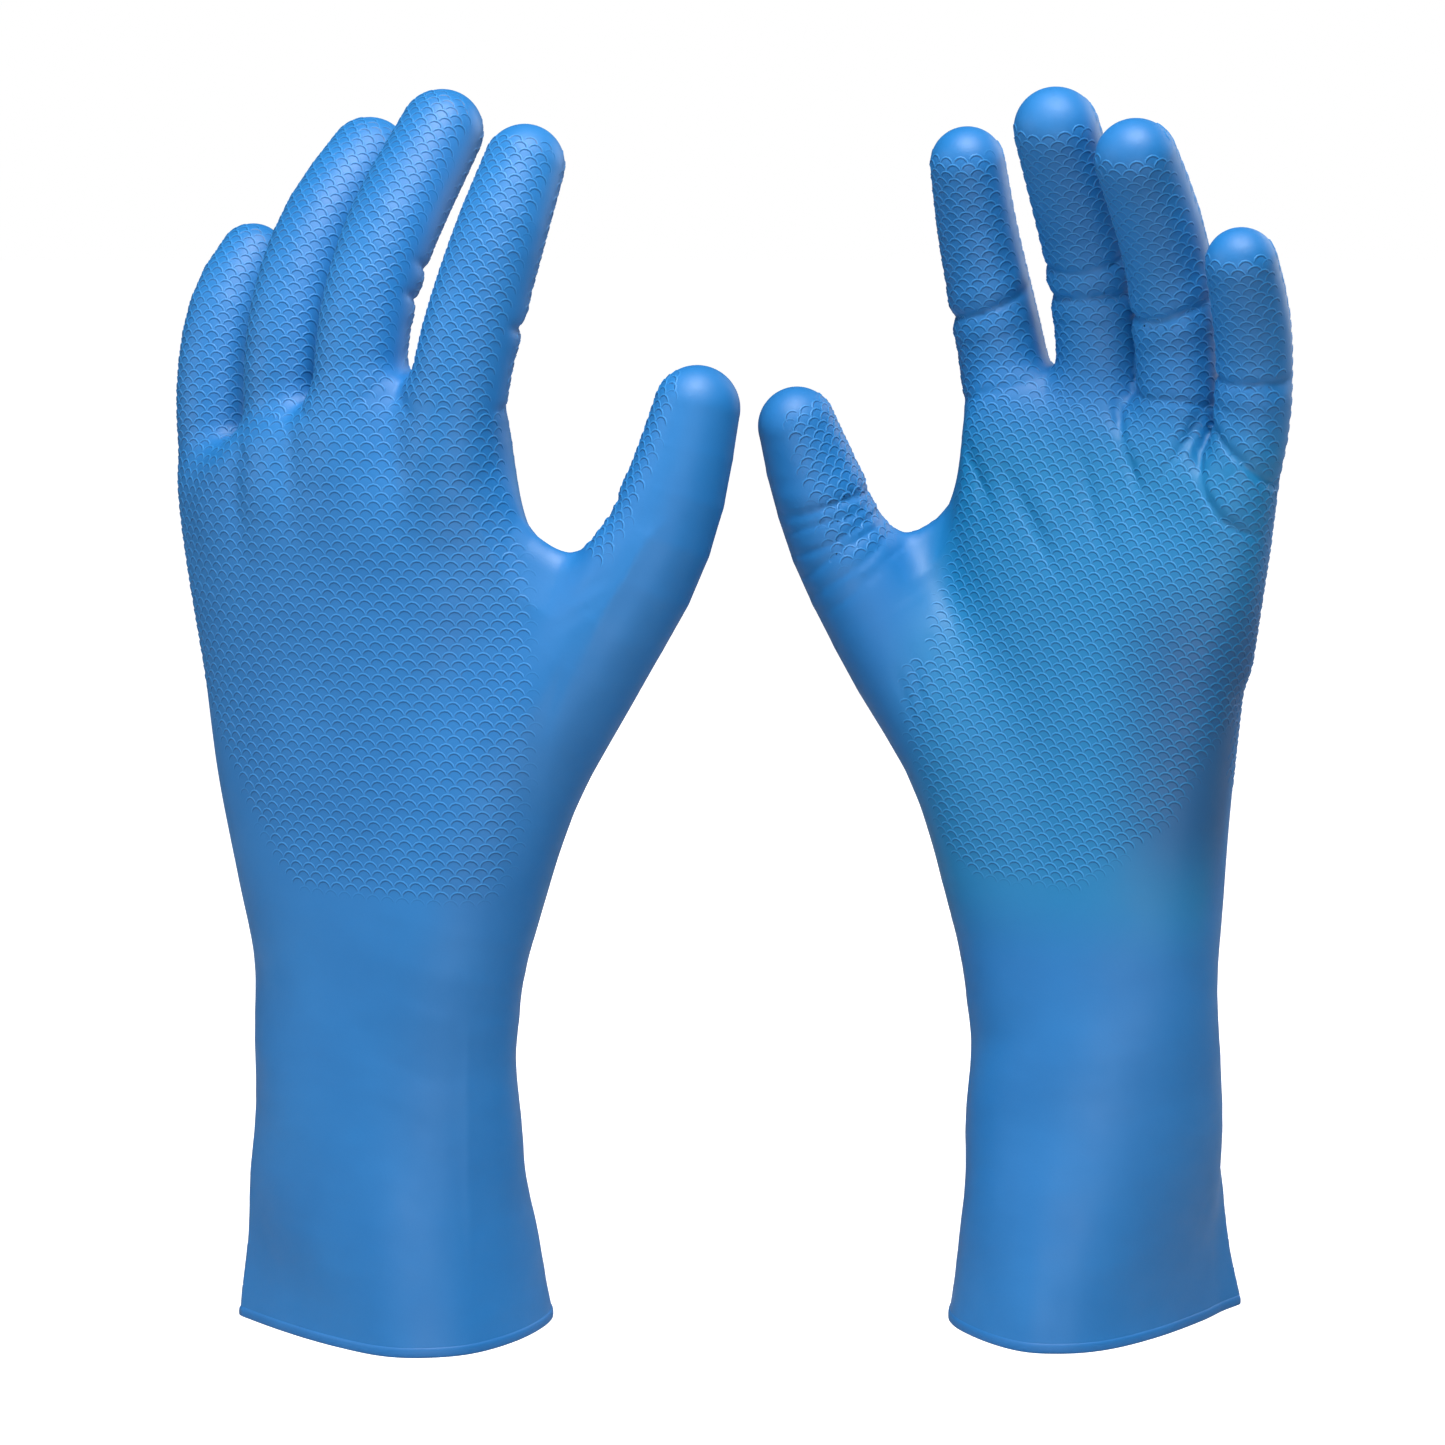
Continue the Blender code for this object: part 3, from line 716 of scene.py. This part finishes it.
def bends_of(glove):
    """The stretches that bend: the wrist, and each digit's root and middle."""
    centre = [*spline(glove.sleeve, np.array([WRIST]))[0][:2], WRIST]
    found = {"wrist": Bend(*(np.add(centre, (0, 0, shift)) for shift in WRIST_BEND))}
    for name, digit in glove.digits.items():
        for joint, at, bend in (("root", digit.flex[0], ROOT_BEND), ("end", digit.flex[1], MIDDLE_BEND)):
            start, end = (digit.at(at + shift)[0][0] for shift in bend)
            found[f"{name}_{joint}"] = Bend(start, end)
    return found


ON_DIGIT = 5.0


def owners(glove, bends, points):
    """The piece that each point belongs to, as a number in PIECES."""
    owner = np.ones(len(points), int)
    owner[points[:, 2] < bends["wrist"].end[2] + SEAM_MARGIN] = 0
    distances = np.stack([glove.digits[name].measure(points)[0] for name in DIGITS])
    nearest = distances.argmin(0)
    on_digit = distances.min(0) < ON_DIGIT
    for i, name in enumerate(DIGITS):
        mine = on_digit & (nearest == i)
        for part, joint in enumerate(("root", "end")):
            past = bends[f"{name}_{joint}"].past(points) > -SEAM_MARGIN
            owner[mine & past] = 2 + 2 * i + part
    return owner


class Chart:
    """A strip of skin measured out in millimetres: around an axis, and along it."""

    def __init__(self, glove, centres, outward, sideways, spread, furthest):
        angles = np.radians(np.linspace(-spread, spread, CHART_ANGLES))[None, :, None]
        directions = unit(outward[:, None] * np.cos(angles) + sideways[:, None] * np.sin(angles))
        shape = directions.shape[:2]
        starts = np.repeat(centres[:, None], CHART_ANGLES, 1).reshape(-1, 3)
        directions = directions.reshape(-1, 3)
        reach = np.full(len(starts), CHART_START)
        for _ in range(CHART_ROUNDS):
            reach -= CHART_SHARE * glove.field(starts + reach[:, None] * directions)
            reach = np.clip(reach, CHART_NEAREST, furthest)
        self.skin = (starts + reach[:, None] * directions).reshape(*shape, 3)
        middle = CHART_ANGLES // 2
        steps = np.linalg.norm(np.diff(self.skin, axis=1), axis=2)
        self.around = np.concatenate([np.zeros((shape[0], 1)), np.cumsum(steps, 1)], 1)
        self.around -= self.around[:, middle:middle + 1]
        climb = np.linalg.norm(np.diff(self.skin[:, middle], axis=0), axis=1)
        self.along = np.concatenate([[0], np.cumsum(climb)])

    def at(self, across, up):
        """The skin at each place, given across from the middle line and up from the first row."""
        i = np.clip(np.searchsorted(self.along, up, side="right") - 1, 0, len(self.along) - 2)
        t = ((up - self.along[i]) / (self.along[i + 1] - self.along[i]))[:, None]
        around = self.around[i] * (1 - t) + self.around[i + 1] * t
        j = np.clip((around < across[:, None]).sum(1) - 1, 0, CHART_ANGLES - 2)
        row = np.arange(len(j))
        span = np.maximum(around[row, j + 1] - around[row, j], TINY)
        f = ((across - around[row, j]) / span)[:, None]
        low = self.skin[i, j] * (1 - f) + self.skin[i, j + 1] * f
        high = self.skin[i + 1, j] * (1 - f) + self.skin[i + 1, j + 1] * f
        return low * (1 - t) + high * t

    def scales(self, pitch, row, tilt):
        """Staggered places all over the strip, where the scales' crowns point there, and the pitch."""
        widest, tallest = np.abs(self.around).max(), self.along[-1]
        count = int((widest + tallest) / row) + 2
        columns, rows = np.meshgrid(np.arange(-count, count + 1), np.arange(-count, count + 1))
        a = ((columns + 0.5 * (rows % 2)) * pitch).ravel()
        b = (rows * row).ravel()
        c, s = math.cos(math.radians(tilt)), math.sin(math.radians(tilt))
        across, up = a * c + b * s, b * c - a * s
        left = np.interp(up, self.along, self.around[:, 0])
        right = np.interp(up, self.along, self.around[:, -1])
        fits = (up > PROBE) & (up < tallest - PROBE) & (across > left + PROBE) & (across < right - PROBE)
        across, up = across[fits], up[fits]
        place = self.at(across, up)
        x = self.at(across + PROBE, up) - self.at(across - PROBE, up)
        y = self.at(across, up + PROBE) - self.at(across, up - PROBE)
        return place, unit(y * c + x * s), np.full(len(place), pitch)


def hand_chart(glove, side):
    """The back of the hand (side -1) or the palm (side 1)."""
    heights = np.arange(*HAND_HEIGHTS, CHART_STEP)
    values = spline(glove.sleeve, heights)
    centres = np.column_stack([values[:, 0], values[:, 1] + ARCH_SHARE * values[:, 4], heights])
    outward = np.outer(values[:, 3], [0, side, 0])
    sideways = np.outer(values[:, 2], [1, 0, 0])
    return Chart(glove, centres, outward, sideways, HAND_SPREAD, HAND_FURTHEST)


def leaned(outward, across):
    """Two directions or amounts, turned from the middle of the thumb's pad towards its inner side."""
    c, s = math.cos(math.radians(THUMB_LEAN_DEG)), math.sin(math.radians(THUMB_LEAN_DEG))
    return outward * c + across * s, across * c - outward * s


def digit_chart(glove, name, side):
    """The back of a digit (side -1) or its palm side (side 1), measured up to its round tip."""
    digit = glove.digits[name]
    top = digit.stations[-1][0]
    heights = np.arange(DIGIT_ROWS_FROM[name] - ROWS_SPARE, top, CHART_STEP)
    centres = digit.at(heights)[0]
    along, across, palmwards = digit.axes(heights)
    past = np.arange(TIP_START, TIP_SHARE * digit.radii[-1], CHART_STEP)[:, None]
    centres = np.concatenate([centres, centres[-1] + past * along[-1]])
    across = np.concatenate([across, np.repeat(across[-1:], len(past), 0)])
    palmwards = np.concatenate([palmwards, np.repeat(palmwards[-1:], len(past), 0)])
    outward = palmwards * side
    if name == "thumb":
        outward, across = leaned(outward, across)
    return Chart(glove, centres, outward, across, DIGIT_SPREAD, digit.radii.max() + DIGIT_FURTHEST)


def hand_strength(points, normals, side):
    """How strongly the hand's own scales stand out at each place, 0 where there are none."""
    u, _, z = points.T
    thumbward, lowest = (BACK_THUMBWARD, BACK_LOWEST) if side < 0 else (PALM_THUMBWARD, PALM_LOWEST)
    edge = np.interp(z, *np.transpose(thumbward)) - u
    lift = z - np.interp(u, *np.transpose(lowest))
    strength = smoothstep(*EDGE_FADE, edge) * smoothstep(*LIFT_FADE, lift)
    return strength * smoothstep(*HAND_FADE, normals[:, 1] * side)


def digit_strength(digit, points, side):
    """How strongly a digit's own scales stand out at each place."""
    distance, height, facing, aside = digit.measure(points)
    ahead = digit.along(digit.stations[-1][0])[0]
    from_tip = (digit.centres[-1] + ahead * TIP_SHARE * digit.radii[-1] - points) @ ahead
    up = height - DIGIT_ROWS_FROM[digit.name]
    if digit.name == "thumb":
        facing, _ = leaned(facing, aside)
        strength = smoothstep(*THUMB_FADE, facing) * smoothstep(*THUMB_ROOT_FADE, up)
    else:
        strength = smoothstep(*FINGER_FADE, facing * side)
    return strength * smoothstep(*TIP_FADE, from_tip) * (distance < DIGIT_OWNS) * (up > 0)


def scale_places(glove):
    """Every scale's place, the direction of its crown, its pitch and its strength."""
    found = []
    for side, layout in ((-1, BACK_SCALES), (1, PALM_SCALES)):
        place, y, pitch = hand_chart(glove, side).scales(*layout)
        strength = hand_strength(place, unit(glove.gradient(place)), side)
        for name in FINGERS:
            distance, height, _, _ = glove.digits[name].measure(place)
            strength = strength * ~((distance < DIGIT_OWNS) & (height > DIGIT_ROWS_FROM[name]))
        found.append((place, y, pitch, strength))
    for name, digit in glove.digits.items():
        for side in (1,) if name == "thumb" else (-1, 1):
            place, y, pitch = digit_chart(glove, name, side).scales(*DIGIT_SCALES)
            found.append((place, y, pitch, digit_strength(digit, place, side)))
    place, y, pitch, strength = (np.concatenate(part) for part in zip(*found))
    keep = (strength > FAINTEST) & (np.abs(glove.field(place)) < OFF_SKIN)
    return place[keep], y[keep], pitch[keep], strength[keep]


def ridges(glove):
    """The scales as closed arched ridges: corners, normals, places and each corner's painted shade and
    highlight.
    """
    place, y, pitch, strength = scale_places(glove)
    place = glove.settle(place, 1)
    out = unit(glove.gradient(place))
    y = unit(y - (y * out).sum(1, keepdims=True) * out)
    x = np.cross(y, out)
    angle = np.radians(np.linspace(ARC_START_DEG, 180 - ARC_START_DEG, ARC_POINTS))
    radial = np.cos(angle)[:, None] * x[:, None] + np.sin(angle)[:, None] * y[:, None]
    rise = np.cos(angle)[:, None] * x[:, None] + (ARCH * np.sin(angle) - ARCH_DROP)[:, None] * y[:, None]
    crest = place[:, None] + rise * pitch[:, None, None] / 2
    up = unit(glove.gradient(crest.reshape(-1, 3))).reshape(crest.shape)[:, :, None]
    outward, height, lean, painted_shade_and_highlight = np.array(RIDGE).T
    spots = (crest[:, :, None] + outward[:, None] * radial[:, :, None]).reshape(-1, 3)
    away = glove.field(spots).reshape(*crest.shape[:2], SECTION)
    ends = END_HEIGHT + (1 - END_HEIGHT) * np.sin(np.linspace(0, np.pi, ARC_POINTS)) ** END_FADE
    lift = height * np.where(height > 0, strength[:, None, None] * ends[:, None], 1.0)
    corners = spots.reshape(*away.shape, 3) + (lift - away)[..., None] * up
    bend = lean * strength[:, None, None] * np.ones((ARC_POINTS, 1))
    facing = unit(up + bend[..., None] * radial[:, :, None])
    # Painted light on each ridge: painted shade darkens its groove and a painted highlight lightens its
    # crest.
    ridge_painted_shade_and_highlight = painted_shade_and_highlight * strength[:, None, None] * ends[:, None]
    even = (up[:, :, 0] * out[:, None]).sum(2).min(1) > SHARPEST_TURN
    return corners[even], facing[even], place[even], ridge_painted_shade_and_highlight[even]


def ridge_faces(count):
    """Quads of the sides and the two ends of each ridge."""
    k = np.arange(ARC_POINTS - 1) * SECTION
    quads = []
    for a in range(SECTION):
        b = (a + 1) % SECTION
        quads.append(np.stack([k + a, k + SECTION + a, k + SECTION + b, k + b], 1))
    last = (ARC_POINTS - 1) * SECTION
    quads.append(np.array([[0, 1, 2, 3], [last + 3, last + 2, last + 1, last]]))
    start = np.arange(count)[:, None, None] * ARC_POINTS * SECTION
    return (np.concatenate(quads)[None] + start).reshape(-1, 4)


def make_mesh(name, points, quads, normals, tint, painted_shade_and_highlight):
    """A Blender mesh from points in metres and quads, with each point's normal, tint and painted shade
    (above 0) and highlight (below 0).
    """
    mesh = bpy.data.meshes.new(name)
    mesh.vertices.add(len(points))
    mesh.vertices.foreach_set("co", np.ascontiguousarray(points, np.float32).ravel())
    mesh.loops.add(quads.size)
    mesh.loops.foreach_set("vertex_index", quads.astype(np.int32).ravel())
    mesh.polygons.add(len(quads))
    mesh.polygons.foreach_set("loop_start", np.arange(0, quads.size, 4, dtype=np.int32))
    mesh.polygons.foreach_set("use_smooth", np.ones(len(quads), bool))
    mesh.update(calc_edges=True)
    mesh.validate()
    mesh.normals_split_custom_set_from_vertices(normals.tolist())
    for key, values in (("tint", tint), ("painted_shade_and_highlight", painted_shade_and_highlight)):
        mesh.attributes.new(key, "FLOAT", "POINT").data.foreach_set("value", values.astype(np.float32))
    made = bpy.data.objects.new(name, mesh)
    bpy.context.scene.collection.objects.link(made)
    return made


def shell(points, quads, normals):
    """A piece of the skin with its real thickness, closed at its edges: points, normals and quads."""
    used, local = np.unique(quads, return_inverse=True)
    quads = local.reshape(-1, 4)
    outer, out = points[used], normals[used]
    directed = np.stack([quads, np.roll(quads, -1, 1)], -1).reshape(-1, 2)
    pairs = np.sort(directed, 1)
    codes = pairs[:, 0] * len(used) + pairs[:, 1]
    _, inverse, count = np.unique(codes, return_inverse=True, return_counts=True)
    rim = directed[count[inverse] == 1]
    shift = len(used)
    faces = np.concatenate([
        quads,
        quads[:, ::-1] + shift,
        np.stack([rim[:, 1], rim[:, 0], rim[:, 0] + shift, rim[:, 1] + shift], 1),
    ])
    return np.concatenate([outer, outer - out * WALL]), np.concatenate([out, -out]), faces


# Soft patches of colour, the rubber's greener palm and painted shade on the heel: each edge is an axis (u, n
# or z), and where the patch starts and is full.
GREENER_PALM = [(2, 248, 225), (2, 96, 122), (0, 54, 34), (1, 2, 10)]
# Painted shade: where shade falls on the palm's heel, darkened in the colour.
PAINTED_HEEL_SHADE_PATCH = [(0, -2, -30), (2, 108, 140), (2, 212, 178), (1, -4, 4)]
PAINTED_HEEL_SHADE_SHARE = 0.95


def soft_patch(points, edges):
    """How far inside a patch each point lies, from 0 to 1."""
    inside = np.ones(len(points))
    for axis, start, full in edges:
        inside *= smoothstep(start, full, points[:, axis])
    return inside


def build_skin(glove, look):
    points, quads, normals = skin_mesh(glove)
    bends = bends_of(glove)
    owner = owners(glove, bends, points[quads].mean(1))
    corners, facing, places, ridge_painted_shade_and_highlight = ridges(glove)
    scale_owner = owners(glove, bends, places)
    for number, name in enumerate(PIECES):
        shape, out, faces = shell(points, quads[owner == number], normals)
        mine = scale_owner == number
        faces = np.concatenate([faces, ridge_faces(mine.sum()) + len(shape)])
        # The ridges' corners carry their painted shade and highlight; the skin's own points start with none.
        painted_shade_and_highlight = np.concatenate([np.zeros(len(shape)), ridge_painted_shade_and_highlight[mine].ravel()])
        shape = np.concatenate([shape, corners[mine].reshape(-1, 3)])
        out = np.concatenate([out, facing[mine].reshape(-1, 3)])
        # Painted shade: a soft dark patch on the right palm's heel, added to the ridges' painted shade.
        if glove.side == "right":
            painted_shade_and_highlight += PAINTED_HEEL_SHADE_SHARE * soft_patch(shape, PAINTED_HEEL_SHADE_PATCH)
        tint = soft_patch(shape, GREENER_PALM)
        place, out = glove.world(shape), glove.directions(out)
        made = make_mesh(f"{glove.side}_{name}_skin", place, faces, out, tint, painted_shade_and_highlight)
        made.data.materials.append(look)
        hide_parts(f"{glove.side}_{name}")
        attach(glove, bends, name, made)


def attach(glove, bends, name, piece):
    """Makes the hand piece ride on its body; every other piece only has its transform baked into its mesh.
    """
    side = glove.side
    if name == "hand":
        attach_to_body(piece, f"{side}_hand")
        return
    if name == "cuff":
        bend, low, high = bends["wrist"], f"{side}_cuff", f"{side}_hand"
    elif name.endswith("_base"):
        digit = name.removesuffix("_base")
        bend, low, high = bends[f"{digit}_root"], f"{side}_hand", f"{side}_{digit}_base"
    else:
        digit = name.removesuffix("_tip")
        bend, low, high = bends[f"{digit}_end"], f"{side}_{digit}_base", f"{side}_{digit}_tip"
    tuple(glove.world(bend.start))
    tuple(glove.world(bend.end))
    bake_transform(piece)


def node(tree, kind, links=(), **settings):
    """A shader node with its settings, and its inputs linked or set as (input, value) pairs."""
    made = tree.nodes.new(kind)
    for key, value in settings.items():
        setattr(made, key, value)
    for key, value in links:
        if isinstance(value, bpy.types.NodeSocket):
            tree.links.new(value, made.inputs[key])
        else:
            made.inputs[key].default_value = value
    return made


# Painted shade for the scales' grooves and the right palm's heel, and a painted highlight for the crests.
PAINTED_SHADE_COLOUR = (0.002, 0.068, 0.205, 1)
PAINTED_HIGHLIGHT_COLOUR = (0.035, 0.270, 0.620, 1)
PAINTED_SHADE_SHARE = 0.90
PAINTED_HIGHLIGHT_SHARE = -0.60  # crests carry their painted highlight as values below 0
# Deepest and lightest cloud, and the greener patch.
RUBBER_COLOURS = [(0.004, 0.138, 0.395, 1), (0.008, 0.158, 0.435, 1), (0.001, 0.166, 0.385, 1)]
BEAD_COLOURS = [(0.003, 0.127, 0.372, 1), (0.006, 0.145, 0.412, 1), (0.003, 0.127, 0.372, 1)]
# Noise: how many features a metre has, and how many finer levels.
CLOUDS = (38.0, 4.0)
SMEARS = (90.0, 3.0)
GRAIN = (1400.0, 2.0)
NOISE_ENDS = (0.30, 0.70)
ROUGHNESS = (0.50, 0.60)
GRAIN_STRENGTH = 0.10
GRAIN_HEIGHT = 0.0002
GLOSS_LEVEL = 0.55


def noise(tree, place, kind):
    scale, detail = kind
    return node(tree, "ShaderNodeTexNoise", [("Vector", place), ("Scale", scale), ("Detail", detail)])


def blended(tree, share, first, second):
    mix = node(tree, "ShaderNodeMix", [(0, share), (6, first), (7, second)], data_type="RGBA")
    return mix.outputs[2]


def new_material(name):
    made = bpy.data.materials.new(name)
    made.use_nodes = True
    return made, made.node_tree, made.node_tree.nodes["Principled BSDF"]


def rubber_material(name, colours):
    """Satin rubber: cloudy colour, a greener patch, painted shade in grooves and on the heel, painted
    highlights on crests, uneven gloss and a fine grain.
    """
    made, tree, shader = new_material(name)
    place = node(tree, "ShaderNodeTexCoord").outputs["Object"]
    deep, light, patch = colours
    ramp = node(tree, "ShaderNodeValToRGB", [("Fac", noise(tree, place, CLOUDS).outputs["Fac"])])
    for stop, at, colour in zip(ramp.color_ramp.elements, NOISE_ENDS, (deep, light)):
        stop.position, stop.color = at, colour
    tint = node(tree, "ShaderNodeAttribute", attribute_name="tint").outputs["Fac"]
    painted_shade_and_highlight = node(tree, "ShaderNodeAttribute", attribute_name="painted_shade_and_highlight").outputs["Fac"]
    colour = blended(tree, tint, ramp.outputs["Color"], patch)
    # Painted shade darkens grooves and the heel, and a painted highlight lightens crests.
    for share, target in ((PAINTED_SHADE_SHARE, PAINTED_SHADE_COLOUR), (PAINTED_HIGHLIGHT_SHARE, PAINTED_HIGHLIGHT_COLOUR)):
        part = node(tree, "ShaderNodeMath", [(0, painted_shade_and_highlight), (1, share)], operation="MULTIPLY")
        colour = blended(tree, part.outputs[0], colour, target)
    tree.links.new(colour, shader.inputs["Base Color"])
    gloss = node(tree, "ShaderNodeMapRange", [
        ("Value", noise(tree, place, SMEARS).outputs["Fac"]), ("From Min", NOISE_ENDS[0]),
        ("From Max", NOISE_ENDS[1]), ("To Min", ROUGHNESS[0]), ("To Max", ROUGHNESS[1]),
    ])
    tree.links.new(gloss.outputs["Result"], shader.inputs["Roughness"])
    bump = node(tree, "ShaderNodeBump", [
        ("Height", noise(tree, place, GRAIN).outputs["Fac"]), ("Strength", GRAIN_STRENGTH),
        ("Distance", GRAIN_HEIGHT),
    ])
    tree.links.new(bump.outputs["Normal"], shader.inputs["Normal"])
    shader.inputs["Specular IOR Level"].default_value = GLOSS_LEVEL
    return made


SENSOR = 36.0
VIEW_DEG = 21.0
CAMERA_AT = (0.0014, -1.0, 0.325)
CAMERA_AIM = (0.0014, 0.0, 0.1592)
# Soft boxes: place, what they aim at, width, height and power in watts.
SOFT_BOXES = {
    "key": ((0, -0.42, 1.1), (0, 0, 0.2), 0.6, 0.5, 17.5),
    "side": ((-0.93, -0.25, 0.46), (0, 0, 0.2), 0.6, 0.5, 3),
    "rim": ((0.6, 0.35, 0.45), (0, 0, 0.2), 0.6, 0.5, 3),
    "front": ((0, -0.9, 0.06), (0, 0, 0.05), 0.6, 0.1, 2.2),
}
ROOM_LIGHT = 0.07
FLOOR_GLOW = 0.98
FLOOR_HALF = 6.0
FLOOR_GREY = (0.45, 0.45, 0.45, 1)
FLOOR_ROUGHNESS = 0.9
WHITE = (1, 1, 1, 1)


def place_and_aim(made, at, target):
    made.location = at
    made.rotation_euler = (Vector(target) - Vector(at)).to_track_quat("-Z", "Y").to_euler()
    bpy.context.scene.collection.objects.link(made)


def set_camera():
    scene = bpy.context.scene
    scene.view_settings.view_transform = "Standard"
    camera = bpy.data.objects.new("camera", bpy.data.cameras.new("camera"))
    camera.data.sensor_width = SENSOR
    camera.data.lens = SENSOR / 2 / math.tan(math.radians(VIEW_DEG) / 2)
    place_and_aim(camera, CAMERA_AT, CAMERA_AIM)
    scene.camera = camera


def set_lights():
    for name, (at, target, width, height, power) in SOFT_BOXES.items():
        lamp = bpy.data.lights.new(name, "AREA")
        lamp.shape, lamp.size, lamp.size_y, lamp.energy = "RECTANGLE", width, height, power
        box = bpy.data.objects.new(name, lamp)
        box.visible_camera = False
        place_and_aim(box, at, target)


def set_room():
    """White surroundings and a pale floor, which shine on the gloves much less than the camera sees."""
    scene = bpy.context.scene
    world = bpy.data.worlds.new("studio")
    scene.world = world
    world.use_nodes = True
    tree = world.node_tree
    seen = node(tree, "ShaderNodeLightPath").outputs["Is Camera Ray"]
    strength = node(tree, "ShaderNodeMapRange", [("Value", seen), ("To Min", ROOM_LIGHT), ("To Max", 1)])
    tree.links.new(strength.outputs["Result"], tree.nodes["Background"].inputs["Strength"])
    tree.nodes["Background"].inputs["Color"].default_value = WHITE
    floor_mesh = bpy.data.meshes.new("floor")
    corners = [(x * FLOOR_HALF, y * FLOOR_HALF, 0) for x, y in ((-1, -1), (1, -1), (1, 1), (-1, 1))]
    floor_mesh.from_pydata(corners, [], [(0, 1, 2, 3)])
    floor = bpy.data.objects.new("floor", floor_mesh)
    scene.collection.objects.link(floor)
    paper, tree, shader = new_material("white_paper")
    shader.inputs["Base Color"].default_value = FLOOR_GREY
    shader.inputs["Roughness"].default_value = FLOOR_ROUGHNESS
    shader.inputs["Emission Color"].default_value = WHITE
    seen = node(tree, "ShaderNodeLightPath").outputs["Is Camera Ray"]
    glow = node(tree, "ShaderNodeMath", [(0, seen), (1, FLOOR_GLOW)], operation="MULTIPLY")
    tree.links.new(glow.outputs[0], shader.inputs["Emission Strength"])
    floor_mesh.materials.append(paper)


def main():
    rubber = rubber_material("blue_rubber", RUBBER_COLOURS)
    bead = rubber_material("bead_rubber", BEAD_COLOURS)
    for side in SIDES:
        glove = Glove(side)
        build_skin(glove, rubber)
        build_bead(glove, bead)
    set_camera()
    set_lights()
    set_room()


main()
